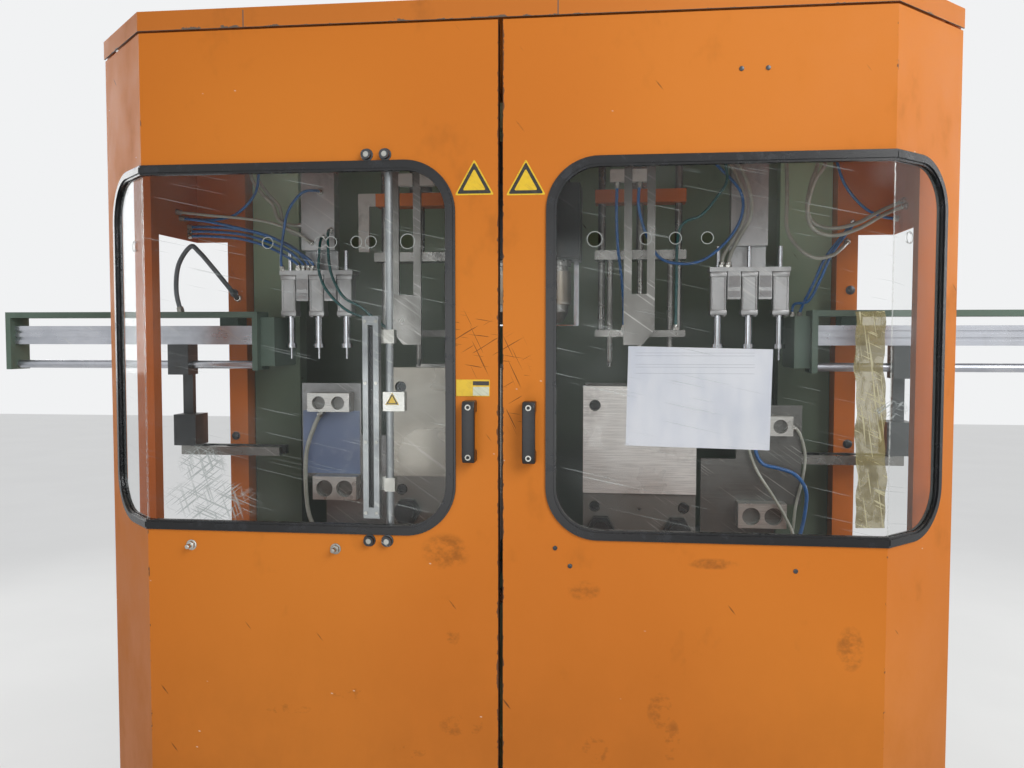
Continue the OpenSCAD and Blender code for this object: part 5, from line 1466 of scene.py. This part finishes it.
@dataclass
class Rear(SubAssembly):
    """Bolts on the extruder, the gearbox, the motor and the rear cabinet."""

    panel_edge: float = 25.0
    panel_x: float = 403.0
    panel_rows: tuple[float, float, float] = (505, 1040, 1555)
    foot_x: float = 220.0
    foot_z: float = 1665.0
    foot_bolts: int = 4
    foot_pitch: float = 75.0
    flange_bolts: int = 12
    barrel_bolts_r: float = 78.0
    motor_z: float = 1825.0
    motor_bolts_r: float = 165.0

    def panel_bolts(self) -> None:
        """Makes the screws at the corners of the service panels on the cabinet's sides."""
        bm = bmesh.new()
        first, last = REAR_WALL_DEPTH + 6, REAR_DEPTH - 60
        pitch = (last - first) / 3
        for side in Side:
            for k in range(3):
                for d in (first + pitch * k + 2 * self.panel_edge,
                          first + pitch * (k + 1) - 2 * self.panel_edge):
                    for z in self.panel_rows:
                        out = Vector((side.value, 0, 0))
                        disc(bm, at(side.value * self.panel_x, d, z), out, 8, 4, sides=16, edge_mm=1.2)
        self.place("panel_bolts", bm, "zinc", "frame", "green_enamel")

    def case_bolts(self) -> None:
        """Makes the bolts of the gearbox's foot and of the motor's and the barrel's flanges."""
        bm = bmesh.new()
        for side in Side:
            for k in range(self.foot_bolts):
                foot = at(side.value * self.foot_x, GEARBOX_DEPTH + 60 + self.foot_pitch * k, self.foot_z)
                hex_bolt(bm, foot, Vector((0, 0, 1)), 19)
        for k in range(self.flange_bolts):
            a = math.tau * (k + 0.5) / self.flange_bolts
            side_way, up_way = math.cos(a), math.sin(a)
            spot = at(self.barrel_bolts_r * side_way, GEARBOX_DEPTH - 30,
                      EXTRUDER_Z + self.barrel_bolts_r * up_way)
            hex_bolt(bm, spot, FRONT, 13)
            spot = at(self.motor_bolts_r * side_way, MOTOR_DEPTH + 30,
                      self.motor_z + self.motor_bolts_r * up_way)
            hex_bolt(bm, spot, Vector((0, 1, 0)), 10)
        self.place("case_bolts", bm, "burnished", "frame", "dark_metal")

    def build(self) -> None:
        """Makes the rear's small parts."""
        self.panel_bolts()
        self.case_bolts()


@dataclass(frozen=True)
class Lamp:
    """One soft square lamp: its place and its target in metres, the length of its side, and its watts."""

    name: str
    place: tuple[float, float, float]
    target: tuple[float, float, float]
    size: float
    power: float

    def build(self) -> None:
        """Adds the lamp to the scene."""
        data = bpy.data.lights.new(self.name, "AREA")
        data.shape = "SQUARE"
        data.size = self.size
        data.energy = self.power
        obj = bpy.data.objects.new(self.name, data)
        way = Vector(self.target) - Vector(self.place)
        obj.matrix_world = Matrix.Translation(self.place) @ aim(-way)
        bpy.context.scene.collection.objects.link(obj)


@dataclass
class Studio:
    """The camera, the lamps, the floor and the sky."""

    eye: tuple[float, float, float] = (0.2553, -3.3399, 1.550)
    yaw_deg: float = 6.72
    pitch_deg: float = -2.88
    roll_deg: float = 0.04
    lens_mm: float = 32.49
    ambient: float = 0.40
    floor_half: float = 14.0
    floor_lift: float = 0.55
    lamps: tuple[Lamp, ...] = (
        Lamp("key_lamp", (2.6, -4.5, 3.7), (0.2, -1.3, 1.5), 2.6, 112),
        Lamp("low_lamp", (-0.6, -5.2, 1.3), (0.1, -0.9, 2.0), 1.8, 16),
        Lamp("top_lamp", (0.0, 0.6, 4.9), (0, 0.2, 1.0), 2.8, 44),
        Lamp("left_lamp", (-4.0, 1.3, 2.4), (0, -0.5, 1.5), 2.2, 50),
        Lamp("right_lamp", (4.0, 1.3, 2.4), (0, -0.5, 1.5), 2.2, 60),
    )

    def camera(self) -> None:
        """Sets the photograph's camera."""
        data = bpy.data.cameras.new("camera")
        data.lens = self.lens_mm
        data.sensor_width = 36
        data.clip_end = 60
        obj = bpy.data.objects.new("camera", data)
        turn = (Matrix.Rotation(math.radians(self.yaw_deg), 4, "Z")
                @ Matrix.Rotation(math.radians(90 + self.pitch_deg), 4, "X")
                @ Matrix.Rotation(math.radians(self.roll_deg), 4, "Z"))
        obj.matrix_world = Matrix.Translation(self.eye) @ turn
        bpy.context.scene.collection.objects.link(obj)
        bpy.context.scene.camera = obj

    def floor(self) -> None:
        """Lays the plain pale floor."""
        bm = bmesh.new()
        bmesh.ops.create_grid(bm, x_segments=1, y_segments=1, size=self.floor_half)
        mesh = bpy.data.meshes.new("floor")
        bm.to_mesh(mesh)
        bm.free()
        s = Sheet("sealed_pale_floor")
        tone = s.ramp(s.noise(900, detail=4), 0.3, 0.7)
        material = s.finish(Base_Color=s.blend(tone, linear("#DCDBD7"), linear("#D3D2CE")), Roughness=0.6)
        self.lift(s)
        mesh.materials.append(material)
        obj = bpy.data.objects.new("floor", mesh)
        bpy.context.scene.collection.objects.link(obj)

    def lift(self, s: Sheet) -> None:
        """Shows the floor paler to the camera, with the shadow still on it.

        Args:
            s: the floor's finished tree.
        """
        out = next(n for n in s.tree.nodes if n.type == "OUTPUT_MATERIAL").inputs["Surface"]
        lit = out.links[0].from_socket
        path = add(s.tree, "ShaderNodeLightPath")
        seen = s.math("MAXIMUM", path.outputs["Is Camera Ray"], path.outputs["Is Glossy Ray"])
        glow = add(s.tree, "ShaderNodeEmission", {"Color": linear("#F1F2F3"), "Strength": 1.0})
        share = s.math("MULTIPLY", seen, self.floor_lift)
        mixed = add(s.tree, "ShaderNodeMixShader", {0: share, 1: lit, 2: glow.outputs[0]})
        s.tree.links.new(mixed.outputs[0], out)

    def sky(self) -> None:
        """Lights the scene evenly and shows white to the camera, to gloss and through clear pieces."""
        world = bpy.data.worlds.new("studio")
        world.use_nodes = True
        tree = world.node_tree
        tree.nodes.clear()
        path = add(tree, "ShaderNodeLightPath")
        seen = path.outputs["Is Camera Ray"]
        for ray in ("Is Glossy Ray", "Is Transmission Ray"):
            seen = add(tree, "ShaderNodeMath", {0: seen, 1: path.outputs[ray]},
                       operation="MAXIMUM").outputs[0]
        dim = add(tree, "ShaderNodeBackground", {"Color": linear("#F4F6FA"), "Strength": self.ambient})
        pale = add(tree, "ShaderNodeBackground", {"Color": linear("#F1F2F3"), "Strength": 1.0})
        mixed = add(tree, "ShaderNodeMixShader", {0: seen, 1: dim.outputs[0], 2: pale.outputs[0]})
        add(tree, "ShaderNodeOutputWorld", {"Surface": mixed.outputs[0]})
        bpy.context.scene.world = world

    def build(self) -> None:
        """Sets the studio up."""
        self.camera()
        for lamp in self.lamps:
            lamp.build()
        self.floor()
        self.sky()
        bpy.context.scene.view_settings.view_transform = "Standard"


CLOTHES = {
    "machine_bed": "green", "levelling_feet": "dark", "side_walls": "frame", "rear_wall": "green",
    "roof_canopy": "header", "crossbeam": "green", "shuttle_rails": "ground", "rear_cabinet": "cabinet",
    "door_left": "door", "door_right": "door", "rubber_left": "rubber", "rubber_right": "rubber",
    "pane_left": "pane", "pane_right": "pane", "handle_left": "plastic", "handle_right": "plastic",
    "sensor_rail": "galvanised", "door_fittings": "zinc", "carriage_left": "dark", "carriage_right": "dark",
    "front_platen_left": "platen_left", "front_platen_right": "platen_right", "rear_platen_left": "ground",
    "rear_platen_right": "ground", "clamp_unit_left": "dark", "clamp_unit_right": "dark",
    "mould_front_left": "mould", "mould_front_right": "mould", "mould_rear_left": "mould",
    "mould_rear_right": "mould", "manifold_left": "manifold_left", "manifold_right": "manifold_right",
    "carriage_hoses_left": "plastic", "carriage_hoses_right": "plastic", "blow_frames": "ground",
    "blow_bridges": "frame", "valve_blocks": "port", "blow_head_left": "ground", "blow_head_right": "ground",
    "spindle_units": "alloy", "spindles_left": "chrome", "spindles_right": "chrome", "takeout_beams": "beam",
    "linear_axes": "axis", "takeout_arm_left": "dark", "takeout_arm_right": "dark",
    "takeout_jaw_left": "ground", "takeout_jaw_right": "ground", "extrusion_head": "dark",
    "die_heads": "ground", "parison_knife": "chrome", "extruder_barrel": "barrel",
    "extruder_screw": "chrome", "heater_bands": "heater", "feed_hopper": "stainless",
    "gearbox": "cabinet", "drive_motor": "motor", "blue_hoses": "plastic", "clear_hoses": "plastic",
}


def main() -> None:
    """Builds the studio and every piece, and dresses every node."""
    logging.basicConfig(level=logging.INFO, format="%(name)s: %(message)s")
    Studio().build()
    finishes = Finishes()
    finishes.build()
    HoseSet(finishes).build()
    for node, name in CLOTHES.items():
        finishes.dress(node, name)
    Doors(finishes).build()
    Stations(finishes).build()
    Rear(finishes).build()


if __name__ == "__main__":
    main()
